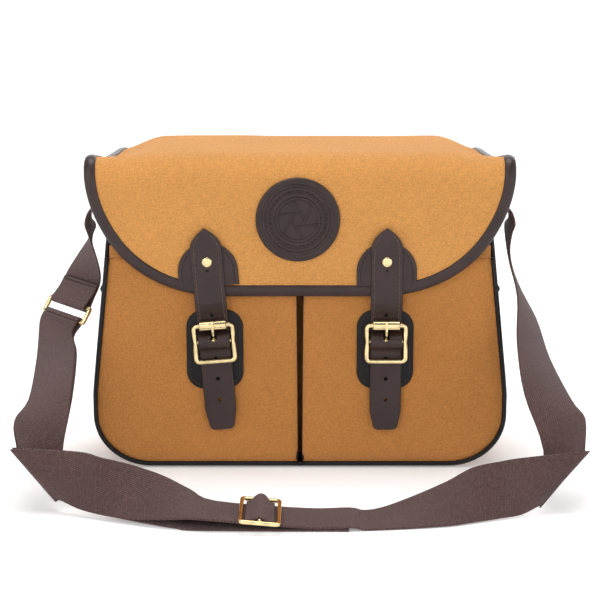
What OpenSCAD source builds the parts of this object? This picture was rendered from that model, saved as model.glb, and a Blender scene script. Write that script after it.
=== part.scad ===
// Flap-over canvas shoulder bag for a camera, trimmed with leather and brass.
// Origin: centre of the flat base. +X to the wearer's right of the front view, +Y to the back,
// +Z up. Millimetres.

/* [Body] */
// Width of the body at its widest, low down
body_w = 400; // [380:1:410]
// Width of the body at its top edge
body_top_w = 354; // [346:1:362]
// Height of the back panel
body_h = 285; // [281:1:285]
// Height of the front panel and the side walls
front_h = 268; // [258:1:271]
// Depth of the main compartment over its panels
body_d = 90; // [86:1:92]
// Thickness of a lined canvas wall
cloth_t = 3; // [2.5:0.5:3.5]
// How far the piping stands out from the body
piping_out = 2; // [1:0.5:3]

/* [Pockets] */
// Depth of the front pockets
pocket_d = 35; // [30:1:36]
// Height of the pocket mouths
pocket_h = 206; // [190:1:210]
// Gap between the pockets at the bottom
pocket_gap = 4; // [3:0.5:8]

/* [Flap] */
// Half width of the flap
flap_half_w = 202; // [196:1:203]
// Height of the flap's lower edge when closed
flap_low = 170; // [169:0.5:171]
// Width of the leather binding round the flap
binding_w = 11; // [8:1:14]
// Diameter of the round badge
badge_d = 79; // [60:1:84]

/* [Closing straps] */
// Width of a closing strap
strap_w = 30; // [26:1:31]
// Outer width of a buckle
buckle_w = 41; // [41:0.5:44]
// Outer height of a buckle
buckle_h = 39; // [37:0.5:41]
// Lean of the left closing strap, degrees
lean_left = 4.5; // [0:0.5:5]

/* [Shoulder strap] */
// Width of the shoulder webbing
web_w = 50; // [48:1:51]
// Thickness of the shoulder webbing
web_t = 2; // [1.6:0.1:2.2]
// Height of the sewn points that the shoulder strap turns about
pivot_z = 218; // [216:1:220]

/* [Hidden] */
$fn = 48;
eps = 0.01;
lap = 20;                          // how far a cutting shape runs past what it cuts

// Body outline
corner_rx = 56;                    // lower corner, across
corner_rz = 52;                    // lower corner, up
side_z = 74;                       // height where the sides start to lean in
y_front = -body_d / 2;
y_back = body_d / 2;
panel_in = 3;                      // the panels stop this far inside the piping
piping_d = 4;                      // piping, front to back
mouth_t = 5;                       // binding on the front panel's top edge
mouth_h = 7;

// Padded insert
board_t = 3;
insert_wall = 9;
insert_h = 210;
divider_t = 8;
divider_x = 62;
fit_gap = 0.5;

// Pockets
y_pocket = y_front - pocket_d;
pocket_in = 4;
pocket_t = 2.6;
pocket_bottom = 3;
edge_w = 1.6;                      // the pocket face stops this far inside its side walls
edge_d = 3.6;                      // piping round the pocket face, front to back
edge_out = 4.2;                    // and across
hem_t = 3.4;
hem_h = 12;
patch_w = 54;
patch_h = 77.5;
patch_r = 17;
patch_z = 79;                      // lower edge of the pocket patches
patch_t = 2;
patch_x_left = -81;
patch_x_right = 81;

// Flap
roll_y = -61;                      // front roll
roll_z = 280;
roll_r = 22;
rise = 4;                          // slope of the top, degrees
top_len = 83;
lining_t = 1.4;
canvas_t = 1.6;
flap_t = lining_t + canvas_t;
bind_over = 0.8;                   // how far the binding stands off either face
back_y = roll_y + top_len * cos(rise);
back_z = roll_z + top_len * sin(rise);
y_flap = roll_y - roll_r;          // inner face of the hanging part
shield_x = 70;                     // where the straight lower edge ends
shield_z = 304;
shield_pow = 2.2;
flap_back_half_w = 180;
badge_x = -2;
badge_z = 243.5;
badge_t = 3;

// Closing straps, in their own frame: origin where the strap bends at the flap's lower edge
bend_y = -89.7;
bend_z = 168;
left_x = -84.4;
right_x = 81.6;
leather_t = 2.8;
tip_len = 17;
top_len_up = 236 - bend_z;         // from the bend up to the pointed end
tail_len = bend_z - 39.5;          // from the bend down to the tapered end
hole_r = 2;
hole_z = [-16.1, -57.5, -78.1, -98.8];
buckle_y = -90.1;                  // plane of the buckle
buckle_z = -42.5;                  // its centre, below the bend
wire_t = 4.3;
shaft_r = 1.7;
run_gap = 0.08;
centre_bar_z = 2;                  // above the buckle's centre
top_bar_z = buckle_h / 2 - wire_t / 2;
roller_r = 4.8;
roller_len = 25;
prong_t = 2.4;
prong_w = 4;
prong_slot = 6;                    // opening in the strap that the prong comes through
flap_patch_w = 57;
flap_patch_low = 184;
rivet_z = 36;                      // above the bend
rivet_r = 4.75;
snap_z = -71;                      // press stud, below the bend
snap_r = 6;
stud_r = 1.9;

// Side fittings
gusset_lean = atan(0.5 * (body_w - body_top_w) / (body_h - side_z));
patch_side = 58;
tab_y = 18;
tab_z = 158;
tab_w = 16;
ring_wire = 1.75;
dring_w = 30;
dring_drop = 20;

// Shoulder webbing: pairs of edge points, lower or inner edge first
pivot_x = 201;
half_w = web_w / 2;
fold_r = 3.4;                      // doubled left side, half the stack at the fold
single_fold_r = 1.5;
ring_c = [-227.5, -37, 147];
ring_w_dir = unit([0.72, -0.66, -0.08]);
ring_up = unit([0.22, 0.52, 0.8] - dot([0.22, 0.52, 0.8], ring_w_dir) * ring_w_dir);
ring_n = cross(ring_w_dir, ring_up);
ring_bar_r = 2.2;
ring_half = 7.7;                   // from the ring's middle to either long bar
ring_in_w = 54;
loop_r = ring_bar_r + 0.25 + web_t / 2;
slope = 5;                         // the webbing climbs to the left through the slider
slider_x = -35;
slider_z = 3.4 + (5 - slider_x) * tan(slope);
slider_y = -236;
slider_w = 65;                     // across the webbing
slider_l = 37;                     // along the webbing
slider_wire = 3.6;

function unit(v) = v / norm(v);
function dot(a, b) = a[0] * b[0] + a[1] * b[1] + a[2] * b[2];

// ---------------------------------------------------------------- helpers

// Stand an XZ outline up, from y0 to y1
module slab(y0, y1) {
    translate([0, y1, 0]) rotate([90, 0, 0]) linear_extrude(y1 - y0) children();
}

// Run a YZ outline along X, from x0 to x1
module along_x(x0, x1) {
    translate([x0, 0, 0]) rotate([90, 0, 90]) linear_extrude(x1 - x0) children();
}

module rod_x(len, r) {
    rotate([0, 90, 0]) cylinder(h = len, r = r, center = true);
}

module rod_y(len, r) {
    rotate([90, 0, 0]) cylinder(h = len, r = r, center = true);
}

module rounded(w, h, r) {
    square([w - 2 * r, h], center = true);
    square([w, h - 2 * r], center = true);
    for (x = [-1, 1], z = [-1, 1]) {
        translate([x * (w / 2 - r), z * (h / 2 - r)]) circle(r);
    }
}

// Body outline, drawn e inside the full one, up to height h
function body_half(e, h) = concat(
    [for (a = [-90:10:0]) [body_w / 2 - corner_rx + (corner_rx - e) * cos(a),
                           corner_rz + (corner_rz - max(e, 0)) * sin(a)]],
    [[body_w / 2 - e, side_z], [side_at(h) - e, h]]);
function side_at(z) = body_w / 2 - (z - side_z) * (body_w - body_top_w) / 2 / (body_h - side_z);
function mirrored(pts) = [for (i = [len(pts) - 1:-1:0]) [-pts[i][0], pts[i][1]]];
function body_outline(e, h) = concat(body_half(e, h), mirrored(body_half(e, h)));

module body_2d(e, h) {
    polygon(body_outline(e, h));
}

// ---------------------------------------------------------------- body

module front_panel() {
    color("peru") slab(y_front, y_front + cloth_t) body_2d(panel_in, front_h);
}

module back_panel() {
    color("peru") slab(y_back - cloth_t, y_back) body_2d(panel_in, body_h);
}

module gusset_band() {
    color("chocolate") slab(y_front + cloth_t, y_back - cloth_t) difference() {
        body_2d(0, front_h);
        body_2d(cloth_t, front_h + lap);
    }
}

module piping(y0, y1, h) {
    color("black") slab(y0, y1) difference() {
        intersection() {
            body_2d(-piping_out, h);
            translate([-body_w, 0]) square([2 * body_w, h]);
        }
        body_2d(panel_in, h + lap);
    }
}

module front_piping() piping(y_front - 1, y_front - 1 + piping_d, front_h);

module back_piping() piping(y_back + 1 - piping_d, y_back + 1, body_h);

module base_board() {
    color("dimgray") translate([0, 0, cloth_t + board_t / 2])
        cube([280, body_d - 2 * cloth_t - 1, board_t], center = true);
}

module mouth_binding() {
    color("saddlebrown") translate([0, y_front + cloth_t / 2, front_h + mouth_h / 2])
        cube([2 * side_at(front_h) - 10, mouth_t, mouth_h], center = true);
}

module padded_insert() {
    insert_low = cloth_t + board_t + eps;
    inner_y = y_back - cloth_t - fit_gap;
    color("darkgray") difference() {
        slab(-inner_y, inner_y) intersection() {
            body_2d(cloth_t + fit_gap, insert_h);
            translate([-body_w, insert_low]) square([2 * body_w, insert_h]);
        }
        slab(-inner_y + insert_wall, inner_y - insert_wall) intersection() {
            body_2d(cloth_t + fit_gap + insert_wall, insert_h + lap);
            translate([-body_w, insert_low + insert_wall]) square([2 * body_w, insert_h]);
        }
    }
}

module divider(x) {
    low = cloth_t + board_t + insert_wall + fit_gap;
    inner_y = y_back - cloth_t - 2 * fit_gap - insert_wall;
    color("gray") translate([x - divider_t / 2, -inner_y, low])
        cube([divider_t, 2 * inner_y, insert_h - low - 10]);
}

module divider_left() divider(-divider_x);

module divider_right() divider(divider_x);

// ---------------------------------------------------------------- pockets

// One half of the pocket face, e inside its outer edge and g inside the gap between the
// halves, which widens upwards
module pocket_half(side, e, g, h) {
    intersection() {
        body_2d(pocket_in + e, h);
        polygon([[side * (pocket_gap / 2 + g), pocket_bottom + e],
                 [side * (pocket_gap / 2 + 1 + g), h + lap],
                 [side * body_w, h + lap],
                 [side * body_w, pocket_bottom + e]]);
    }
}

module pocket(side) {
    color("peru") difference() {
        union() {
            slab(y_pocket, y_pocket + edge_d) pocket_half(side, edge_w, 0, pocket_h);
            slab(y_pocket + edge_d, y_front - 1.2) pocket_half(side, 0, 0, pocket_h);
        }
        slab(y_pocket + pocket_t, y_front + lap)
            pocket_half(side, pocket_t, pocket_t, pocket_h + lap);
    }
}

// Leather piping round the outer edge of a pocket face
module pocket_piping(side) {
    color("black") slab(y_pocket - 0.8, y_pocket + edge_d) difference() {
        pocket_half(side, edge_w - edge_out, 0, pocket_h);
        pocket_half(side, edge_w, -pocket_gap, pocket_h + lap);
    }
}

module pocket_piping_left() pocket_piping(-1);

module pocket_piping_right() pocket_piping(1);

module pocket_left() pocket(-1);

module pocket_right() pocket(1);

module pocket_hem(side) {
    x0 = pocket_gap / 2 + 3;
    color("sienna") translate([side > 0 ? x0 : -side_at(pocket_h) + 12, y_pocket - 0.4, pocket_h])
        cube([side_at(pocket_h) - 12 - x0, hem_t, hem_h]);
}

module pocket_hem_left() pocket_hem(-1);

module pocket_hem_right() pocket_hem(1);

module pocket_patch(x) {
    color("black") translate([x, 0, patch_z + patch_h / 2])
        slab(y_pocket - patch_t, y_pocket) rounded(patch_w, patch_h, patch_r);
}

module pocket_patch_left() pocket_patch(patch_x_left);

module pocket_patch_right() pocket_patch(patch_x_right);

module snap_socket() {
    color("gold") translate([0, y_pocket - patch_t - 0.25, snap_z])
        rotate([90, 0, 0]) difference() {
            cylinder(h = 0.5, r = snap_r, center = true);
            cylinder(h = 2, r = stud_r + 1, center = true);
        }
}

module snap_socket_left() place_left() snap_socket();

module snap_socket_right() place_right() snap_socket();

// ---------------------------------------------------------------- side fittings

// Frame on a side wall: x out of the wall, z along it, origin on the wall at height z
module on_wall(side, z) {
    translate([side * side_at(z), 0, z]) mirror([side > 0 ? 0 : 1, 0, 0])
        rotate([0, -gusset_lean, 0]) children();
}

module gusset_patch(side) {
    color("saddlebrown") on_wall(side, pivot_z) translate([0.1, -patch_side / 2, -patch_side / 2])
        cube([2, patch_side, patch_side]);
}

module gusset_patch_left() gusset_patch(-1);

module gusset_patch_right() gusset_patch(1);

// Doubled end of the webbing, sewn flat to the wall and turned over at the top
module sewn_webbing(side) {
    color("indigo") on_wall(side, pivot_z) translate([0, half_w, 0]) rotate([90, 0, 0])
        linear_extrude(web_w) {
            translate([2.2, -22]) square([2.4, 42]);
            translate([8.4, 6]) square([2.2, 14]);
            translate([6.4, 20]) intersection() {
                difference() {
                    circle(4.2);
                    circle(2);
                }
                translate([-lap, 0]) square([2 * lap, lap]);
            }
        }
}

module sewn_webbing_left() sewn_webbing(-1);

module sewn_webbing_right() sewn_webbing(1);

// Leather tab folded round the straight bar of a D ring
module side_tab(side) {
    wall_x = side_at(tab_z) + 0.4;
    bar_x = wall_x + 5.4;
    color("black") mirror([side > 0 ? 0 : 1, 0, 0]) translate([0, tab_y + tab_w / 2, 0])
        rotate([90, 0, 0]) linear_extrude(tab_w) difference() {
            union() {
                translate([bar_x, tab_z]) circle(4.2);
                polygon([[wall_x - 0.1, tab_z - 2], [bar_x, tab_z - 4.2], [bar_x + 4.2, tab_z],
                         [side_at(tab_z + 24) + 3.4, tab_z + 24], [side_at(tab_z + 24) + 0.4, tab_z + 24]]);
            }
            translate([bar_x, tab_z]) circle(ring_wire + run_gap);
        }
}

module side_tab_left() side_tab(-1);

module side_tab_right() side_tab(1);

module tab_rivets() {
    rivet_h = tab_z + 16;
    color("gold") for (side = [-1, 1]) {
        on_wall(side, rivet_h) translate([6.2, tab_y, 0]) rotate([0, 90, 0]) cylinder(h = 1.6, r = 3.2);
    }
}

module d_ring(side) {
    bar_x = side_at(tab_z) + 0.4 + 5.4;
    color("gold") mirror([side > 0 ? 0 : 1, 0, 0]) translate([bar_x, tab_y, tab_z]) {
        rod_y(dring_w, ring_wire);
        for (s = [-1, 1]) {
            translate([0, s * dring_w / 2, 0]) sphere(ring_wire);
            translate([0, s * dring_w / 2, -dring_drop / 2]) cylinder(h = dring_drop / 2, r = ring_wire);
        }
        translate([0, 0, -dring_drop / 2]) rotate([90, 0, 90]) rotate([0, 0, 180])
            rotate_extrude(angle = 180) translate([dring_w / 2, 0]) circle(ring_wire);
    }
}

module d_ring_left() d_ring(-1);

module d_ring_right() d_ring(1);

// ---------------------------------------------------------------- flap

// Side view of the flap's run, o outside its inner face: up the front, over the roll and the
// top, and round to the seam at the back
function flap_run(o) = concat(
    [[y_flap - o, flap_low - lap]],
    [for (a = [180:-12:90 + rise]) [roll_y + (roll_r + o) * cos(a), roll_z + (roll_r + o) * sin(a)]],
    [for (a = [90 + rise:-12:2]) [back_y + (roll_r + o) * cos(a), back_z + (roll_r + o) * sin(a)]],
    [[back_y + roll_r + o, back_z]]);
function reversed(pts) = [for (i = [len(pts) - 1:-1:0]) pts[i]];

module flap_layer(o0, o1) {
    along_x(-flap_half_w - lap, flap_half_w + lap) polygon(concat(flap_run(o0), reversed(flap_run(o1))));
}

// Front outline of the flap, drawn e inside the full one
function shield_half(e) = concat(
    [for (a = [0:7.5:90]) [shield_x + (flap_half_w - shield_x - e) * pow(sin(a), 2 / shield_pow),
                           shield_z - (shield_z - flap_low - e) * pow(cos(a), 2 / shield_pow)]],
    [[flap_half_w - e, shield_z + 100]]);

module flap_volume(e) {
    intersection() {
        slab(-200, 200) polygon(concat(shield_half(e), mirrored(shield_half(e))));
        translate([0, 0, 100]) linear_extrude(300) polygon([
            [-flap_half_w + e, -200], [flap_half_w - e, -200], [flap_half_w - e, roll_y],
            [flap_back_half_w - e, 60], [-flap_back_half_w + e, 60], [-flap_half_w + e, roll_y]]);
    }
}

module flap_canvas() {
    color("orange") intersection() {
        flap_layer(lining_t, flap_t);
        flap_volume(binding_w);
    }
}

module flap_lining() {
    color("tan") intersection() {
        flap_layer(0, lining_t);
        flap_volume(binding_w);
    }
}

module flap_binding() {
    color("saddlebrown") difference() {
        intersection() {
            flap_layer(-bind_over, flap_t + bind_over);
            flap_volume(0);
        }
        flap_volume(binding_w);
    }
}

module badge() {
    face_y = y_flap - flap_t;
    color("saddlebrown") translate([badge_x, face_y, badge_z]) rotate([90, 0, 0]) {
        cylinder(h = badge_t, r = badge_d / 2);
        for (r = [19, 29]) {
            rotate_extrude() translate([r, badge_t]) square([1.6, 1.2], center = true);
        }
    }
}

// ---------------------------------------------------------------- closing straps

module place_left() {
    translate([left_x, 0, bend_z]) rotate([0, -lean_left, 0]) children();
}

module place_right() {
    translate([right_x, 0, bend_z]) children();
}

module flap_patch() {
    low = flap_patch_low - bend_z;
    face_y = y_flap - flap_t;
    color("saddlebrown") slab(face_y - patch_t, face_y) {
        translate([-flap_patch_w / 2, low]) square([flap_patch_w, 10]);
        intersection() {
            translate([0, low + 10]) circle(flap_patch_w / 2);
            translate([-lap * 2, low + 10]) square([lap * 4, lap * 4]);
        }
    }
}

module flap_patch_left() intersection() {
    place_left() flap_patch();
    flap_volume(binding_w);
}

module flap_patch_right() intersection() {
    place_right() flap_patch();
    flap_volume(binding_w);
}

// Flat leather along a side-view run of [y, z] points
function side_normal(p, i) =
    let (a = p[max(i - 1, 0)], b = p[min(i + 1, len(p) - 1)], d = b - a) [d[1], -d[0]] / norm(d);
function thick_run(p, t) = concat(
    [for (i = [0:len(p) - 1]) p[i] + side_normal(p, i) * t / 2],
    [for (i = [len(p) - 1:-1:0]) p[i] - side_normal(p, i) * t / 2]);

// The tail: from the bend, in behind the roller, out over the centre bar, in behind the
// buckle's lower bar, and hanging free
tail_run = [[bend_y, -0.6], [bend_y + 0.4, -4], [-87, -10], [-84.6, -16], [-83.8, -22], [-83.8, -28],
    [-84.9, -32], [-91.2, -35.4], [-94.2, -38], [-94.9, -40.5], [-94.2, -43], [-91, -45.8],
    [-87.4, -49.5], [-86.4, -56], [-85.4, -66], [-84.3, -76], [-84.3, -tail_len]];

module strap_outline(low, high) {
    polygon(concat([[-strap_w / 2, low], [strap_w / 2, low], [strap_w / 2, high - tip_len]],
        [for (a = [12:12:168]) [strap_w / 2 * cos(a), high - tip_len + tip_len * pow(sin(a), 0.85)]],
        [[-strap_w / 2, high - tip_len]]));
}

module closing_strap() {
    color("saddlebrown") slab(bend_y - leather_t / 2, bend_y + leather_t / 2)
        strap_outline(0.6, top_len_up);
}

module closing_strap_left() place_left() closing_strap();

module closing_strap_right() place_right() closing_strap();

module strap_tail() {
    color("saddlebrown") difference() {
        intersection() {
            along_x(-strap_w / 2, strap_w / 2) polygon(thick_run(tail_run, leather_t));
            slab(-120, -60) polygon([
                [-strap_w / 2, 2], [-strap_w / 2, -tail_len + 22], [-11, -tail_len + 4], [-8, -tail_len],
                [8, -tail_len], [11, -tail_len + 4], [strap_w / 2, -tail_len + 22], [strap_w / 2, 2]]);
        }
        for (z = hole_z) {
            translate([0, -86, z]) rod_y(30, hole_r);
        }
        translate([-prong_slot / 2, -100, buckle_z + centre_bar_z + 1]) cube([prong_slot, 30, 9]);
    }
}

module strap_tail_left() place_left() strap_tail();

module strap_tail_right() place_right() strap_tail();

module strap_rivet() {
    color("gold") translate([0, bend_y - leather_t / 2, rivet_z]) rotate([90, 0, 0]) difference() {
        intersection() {
            cylinder(h = 2.4, r = rivet_r);
            translate([0, 0, 2.4 - 8]) sphere(8);
        }
        translate([0, 0, 2.6]) cube([1, 7, 1.6], center = true);
    }
}

module strap_rivet_left() place_left() strap_rivet();

module strap_rivet_right() place_right() strap_rivet();

// Buckle frame with its two fixed bars: the top one carries the roller, the middle one the prong
module buckle_frame() {
    inner_w = buckle_w - 2 * wire_t;
    color("gold") translate([0, buckle_y, buckle_z]) {
        difference() {
            translate([0, wire_t / 2, 0]) rotate([90, 0, 0]) linear_extrude(wire_t) difference() {
                rounded(buckle_w, buckle_h, 4);
                rounded(inner_w, buckle_h - 2 * wire_t, 1.5);
            }
            translate([0, 0, buckle_h / 2]) cube([roller_len + 1, lap, 2 * wire_t + 0.6], center = true);
        }
        translate([0, 0, top_bar_z]) rod_x(inner_w + 1, shaft_r);
        translate([0, 0, centre_bar_z]) rod_x(inner_w + 1, shaft_r);
    }
}

module buckle_frame_left() place_left() buckle_frame();

module buckle_frame_right() place_right() buckle_frame();

module buckle_roller() {
    color("gold") translate([0, buckle_y, buckle_z + top_bar_z]) difference() {
        rod_x(roller_len, roller_r);
        rod_x(roller_len + 2, shaft_r + run_gap);
    }
}

module buckle_roller_left() place_left() buckle_roller();

module buckle_roller_right() place_right() buckle_roller();

// Prong: an eye round the centre bar and a tongue that comes through the strap and lies on
// the roller
prong_run = [[0, 2.9], [-2.6, 4.4], [-5, 7.4], [-6.3, 11], [-6.5, 16], [-6.2, 20]];

module buckle_prong() {
    color("gold") translate([0, buckle_y, buckle_z + centre_bar_z]) difference() {
        union() {
            rod_x(prong_w, shaft_r + run_gap + 1.2);
            along_x(-prong_t / 2, prong_t / 2) polygon(thick_run(prong_run, 1.8));
        }
        rod_x(prong_w + 2, shaft_r + run_gap);
    }
}

module buckle_prong_left() place_left() buckle_prong();

module buckle_prong_right() place_right() buckle_prong();

// Press stud on the back of the tail; it enters the socket on the pocket
module snap_stud() {
    back = -84.6 + leather_t / 2;
    color("gold") translate([0, back + 0.05, snap_z]) rotate([-90, 0, 0]) cylinder(h = 1, r = stud_r);
}

module snap_stud_left() place_left() snap_stud();

module snap_stud_right() place_right() snap_stud();

// ---------------------------------------------------------------- shoulder strap

// A run of webbing: s holds pairs of edge points, n holds unit normals
function mid(e) = (e[0] + e[1]) / 2;
function normals(s) = [for (i = [0:len(s) - 1])
    let (a = mid(s[max(i - 1, 0)]), b = mid(s[min(i + 1, len(s) - 1)]))
    unit(cross(b - a, s[i][1] - s[i][0]))];
function shifted(s, d) = let (n = normals(s))
    [for (i = [0:len(s) - 1]) [s[i][0] + n[i] * d[i], s[i][1] + n[i] * d[i]]];

// Extra stations between the given ones, on smooth curves through them
function between(p0, p1, p2, p3, t) =
    0.5 * (2 * p1 + (p2 - p0) * t + (2 * p0 - 5 * p1 + 4 * p2 - p3) * t * t
           + (3 * p1 - p0 - 3 * p2 + p3) * t * t * t);
function eased(s, n) = concat(
    [for (i = [0:len(s) - 2], k = [0:n - 1])
        between(s[max(i - 1, 0)], s[i], s[i + 1], s[min(i + 2, len(s) - 1)], k / n)],
    [s[len(s) - 1]]);

module webbing(s) {
    e = eased(s, 3);
    n = normals(e);
    h = web_t / 2;
    pts = [for (i = [0:len(e) - 1], k = [0:3])
        e[i][k < 2 ? 0 : 1] + n[i] * (k == 0 || k == 3 ? h : -h)];
    last = 4 * (len(e) - 1);
    // The two broad faces are cut along matching diagonals, so a twist keeps its thickness
    faces = concat(
        [[0, 1, 2], [0, 2, 3]],
        [for (i = [0:len(e) - 2], k = [0:2]) each [
            [4 * i + k, 4 * i + 4 + k, 4 * i + 5 + k],
            [4 * i + k, 4 * i + 5 + k, 4 * i + 1 + k]]],
        [for (i = [0:len(e) - 2]) each [
            [4 * i + 3, 4 * i + 7, 4 * i],
            [4 * i, 4 * i + 7, 4 * i + 4]]],
        [[last + 3, last + 2, last + 1], [last + 3, last + 1, last]]);
    polyhedron(pts, faces);
}

// Rounded end of the webbing, turning about the sewn point and bellied out over its fold
function top_end(side) = [for (t = [[75, 3.5], [50, 7], [25, 8.5], [0, 5]])
    let (x = side * (pivot_x + t[1]), y = half_w * cos(t[0]), z = pivot_z + half_w * sin(t[0]))
    [[x, -y, z], [x, y, z]]];

// Edge of the stretch on the floor: place of the front edge and lean from flat
function on_floor(x, y, z, lean) = [[x, y, z], [x, y + web_w * cos(lean), z + web_w * sin(lean)]];

// A fold along the line from q to p, out being away from the webbing, turning by way
function fold_over(q, p, out, r, way) = [for (a = [0:45:180])
    let (o = out * r * sin(a) + [0, way * r * (1 - cos(a)), 0]) [q + o, p + o]];

right_drop = concat(top_end(1), [
    [[203, -38, 199], [213, 4, 173]],
    [[206, -80, 169], [229, -47, 140]],
    [[201.5, -117, 134.5], [236.5, -92, 111]],
    [[203.5, -158, 95], [250, -143, 84]],
    [[218, -187, 50], [256.5, -178, 77]]]);
right_fold = fold_over([212.5, -211, 8], [252.5, -203, 55.5], [0.78, 0, -0.62], single_fold_r, -1);
right_floor = [on_floor(196, -222, 2.2, 78), on_floor(176, -230, 1.3, 76), on_floor(152, -240, 1.3, 54),
    on_floor(130, -248.5, 1.3, 31), on_floor(97, -254.5, 1.3, 12), on_floor(72, -257.5, 1.3, 2),
    on_floor(56, -259, 1.3, 0), on_floor(44, -260, 4, 0), on_floor(5, -261, 3.8, 0),
    on_floor(-75, -260.5, 3.4 + 80 * tan(slope), 0)];
left_floor = [on_floor(-98, -256.5, 10.2, 12), on_floor(-122, -251, 7.5, 32)];
left_stack = concat(
    [on_floor(-150, -240, 3.8, 54), on_floor(-176, -228, 4.4, 76), on_floor(-196, -218, 6.5, 79)],
    fold_over([-213, -209, 12], [-251, -206, 58], [-0.78, 0, -0.62], fold_r, 1),
    [[[-213, -184, 50], [-257.5, -175, 74]],
     [[-208.5, -152, 90], [-250, -136, 82]],
     [[-210.7, -101, 119], [-251, -77, 107]],
     [ring_c - ring_up * 22 + ring_w_dir * half_w, ring_c - ring_up * 22 - ring_w_dir * half_w],
     [ring_c - ring_up * (ring_half + 1) + ring_w_dir * half_w,
      ring_c - ring_up * (ring_half + 1) - ring_w_dir * half_w]]);
stack_n = len(left_stack);
spread = [for (i = [0:stack_n - 1]) i < stack_n - 2 ? fold_r / 2 : (i == stack_n - 2 ? 2 : loop_r)];

// Round a long bar of the ring: at is the bar's place along the ring, from and to are angles
// from the ring's normal
function bar_loop(at, from, to, step) = [for (a = [from:step:to])
    let (c = ring_c + ring_up * at + ring_n * loop_r * cos(a) + ring_up * loop_r * sin(a))
    [c + ring_w_dir * half_w, c - ring_w_dir * half_w]];

module shoulder_webbing() {
    color("indigo") webbing(concat(right_drop, right_fold, right_floor, left_floor,
        shifted(left_stack, -spread), bar_loop(-ring_half, 150, 30, -40)));
}

module webbing_return() {
    under = [on_floor(42, -261, 1.1, 0), on_floor(-85, -259, 1.1, 0), on_floor(-106, -254, 1.1, 5),
        on_floor(-128, -246.5, 1.8, 28)];
    color("indigo") webbing(concat(under, shifted(left_stack, spread)));
}

module anchor_webbing() {
    color("indigo") webbing(concat(top_end(-1), [
        [[-195.8, -34.5, 191], [-220.5, 8.5, 195]],
        [ring_c + ring_up * 36 + ring_w_dir * half_w + [-0.5, 3, 0],
         ring_c + ring_up * 36 - ring_w_dir * half_w + [-0.5, 3, 0]],
        [ring_c + ring_up * 20 - ring_n * 2 + ring_w_dir * half_w,
         ring_c + ring_up * 20 - ring_n * 2 - ring_w_dir * half_w]],
        bar_loop(ring_half, 180, 360, 36),
        [[ring_c + ring_up * 20 + ring_n * 1 + ring_w_dir * half_w,
          ring_c + ring_up * 20 + ring_n * 1 - ring_w_dir * half_w],
         [ring_c + ring_up * 32 + ring_n * 1 + ring_w_dir * half_w,
          ring_c + ring_up * 32 + ring_n * 1 - ring_w_dir * half_w]]));
}

// Rectangular ring between the anchor webbing and the shoulder webbing
module strap_ring() {
    w = ring_w_dir;
    u = ring_up;
    n = ring_n;
    color("gold") multmatrix([[w[0], u[0], n[0], ring_c[0]], [w[1], u[1], n[1], ring_c[1]],
                              [w[2], u[2], n[2], ring_c[2]], [0, 0, 0, 1]]) {
        for (v = [-ring_half, ring_half]) {
            translate([0, v, 0]) rod_x(ring_in_w + 2 * ring_bar_r, ring_bar_r);
        }
        for (x = [-1, 1]) {
            translate([x * (ring_in_w / 2 + ring_bar_r), 0, 0]) {
                rod_y(2 * ring_half, ring_bar_r);
                for (v = [-ring_half, ring_half]) {
                    translate([0, v, 0]) sphere(ring_bar_r);
                }
            }
        }
    }
}

// Slider: local x along the sloping webbing, z out of it
module on_slope() {
    translate([slider_x, slider_y, slider_z]) rotate([0, slope, 0]) children();
}

module slider_frame() {
    lift = web_t / 2 + 0.5;
    color("gold") on_slope() translate([0, 0, lift]) linear_extrude(slider_wire) difference() {
        rounded(slider_l, slider_w, 3.5);
        rounded(slider_l - 2 * slider_wire, slider_w - 2 * slider_wire, 1.5);
    }
}

module slider_bar() {
    lift = web_t / 2 + 0.5 + slider_wire / 2;
    color("gold") on_slope() translate([0, 0, lift]) rod_y(slider_w - 2 * slider_wire, 1.7);
}

// The webbing where it climbs over the centre bar
hump_run = [[-12.5, 2.4], [-9, 3.4], [-6, 6.6], [-3, 9.6], [0, 10.6], [3, 9.6], [6, 6.6], [9, 3.4],
    [12.5, 2.4]];

module slider_webbing() {
    color("indigo") on_slope() translate([0, half_w, 0]) rotate([90, 0, 0]) linear_extrude(web_w)
        polygon(thick_run(hump_run, web_t - 0.2));
}

front_panel();
back_panel();
gusset_band();
base_board();
front_piping();
back_piping();
mouth_binding();
padded_insert();
divider_left();
divider_right();
pocket_left();
pocket_right();
pocket_piping_left();
pocket_piping_right();
pocket_hem_left();
pocket_hem_right();
pocket_patch_left();
pocket_patch_right();
snap_socket_left();
snap_socket_right();
gusset_patch_left();
gusset_patch_right();
sewn_webbing_left();
sewn_webbing_right();
side_tab_left();
side_tab_right();
tab_rivets();
flap_canvas();
flap_lining();
flap_binding();
badge();
flap_patch_left();
flap_patch_right();
closing_strap_left();
closing_strap_right();
strap_rivet_left();
strap_rivet_right();
strap_tail_left();
strap_tail_right();
buckle_frame_left();
buckle_frame_right();
buckle_roller_left();
buckle_roller_right();
buckle_prong_left();
buckle_prong_right();
snap_stud_left();
snap_stud_right();
d_ring_left();
d_ring_right();
shoulder_webbing();
webbing_return();
anchor_webbing();
strap_ring();
slider_frame();
slider_bar();
slider_webbing();
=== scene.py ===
"""Flap-over camera bag: canvas body and flap, leather trim, brass fittings and webbing strap."""

import math

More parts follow.
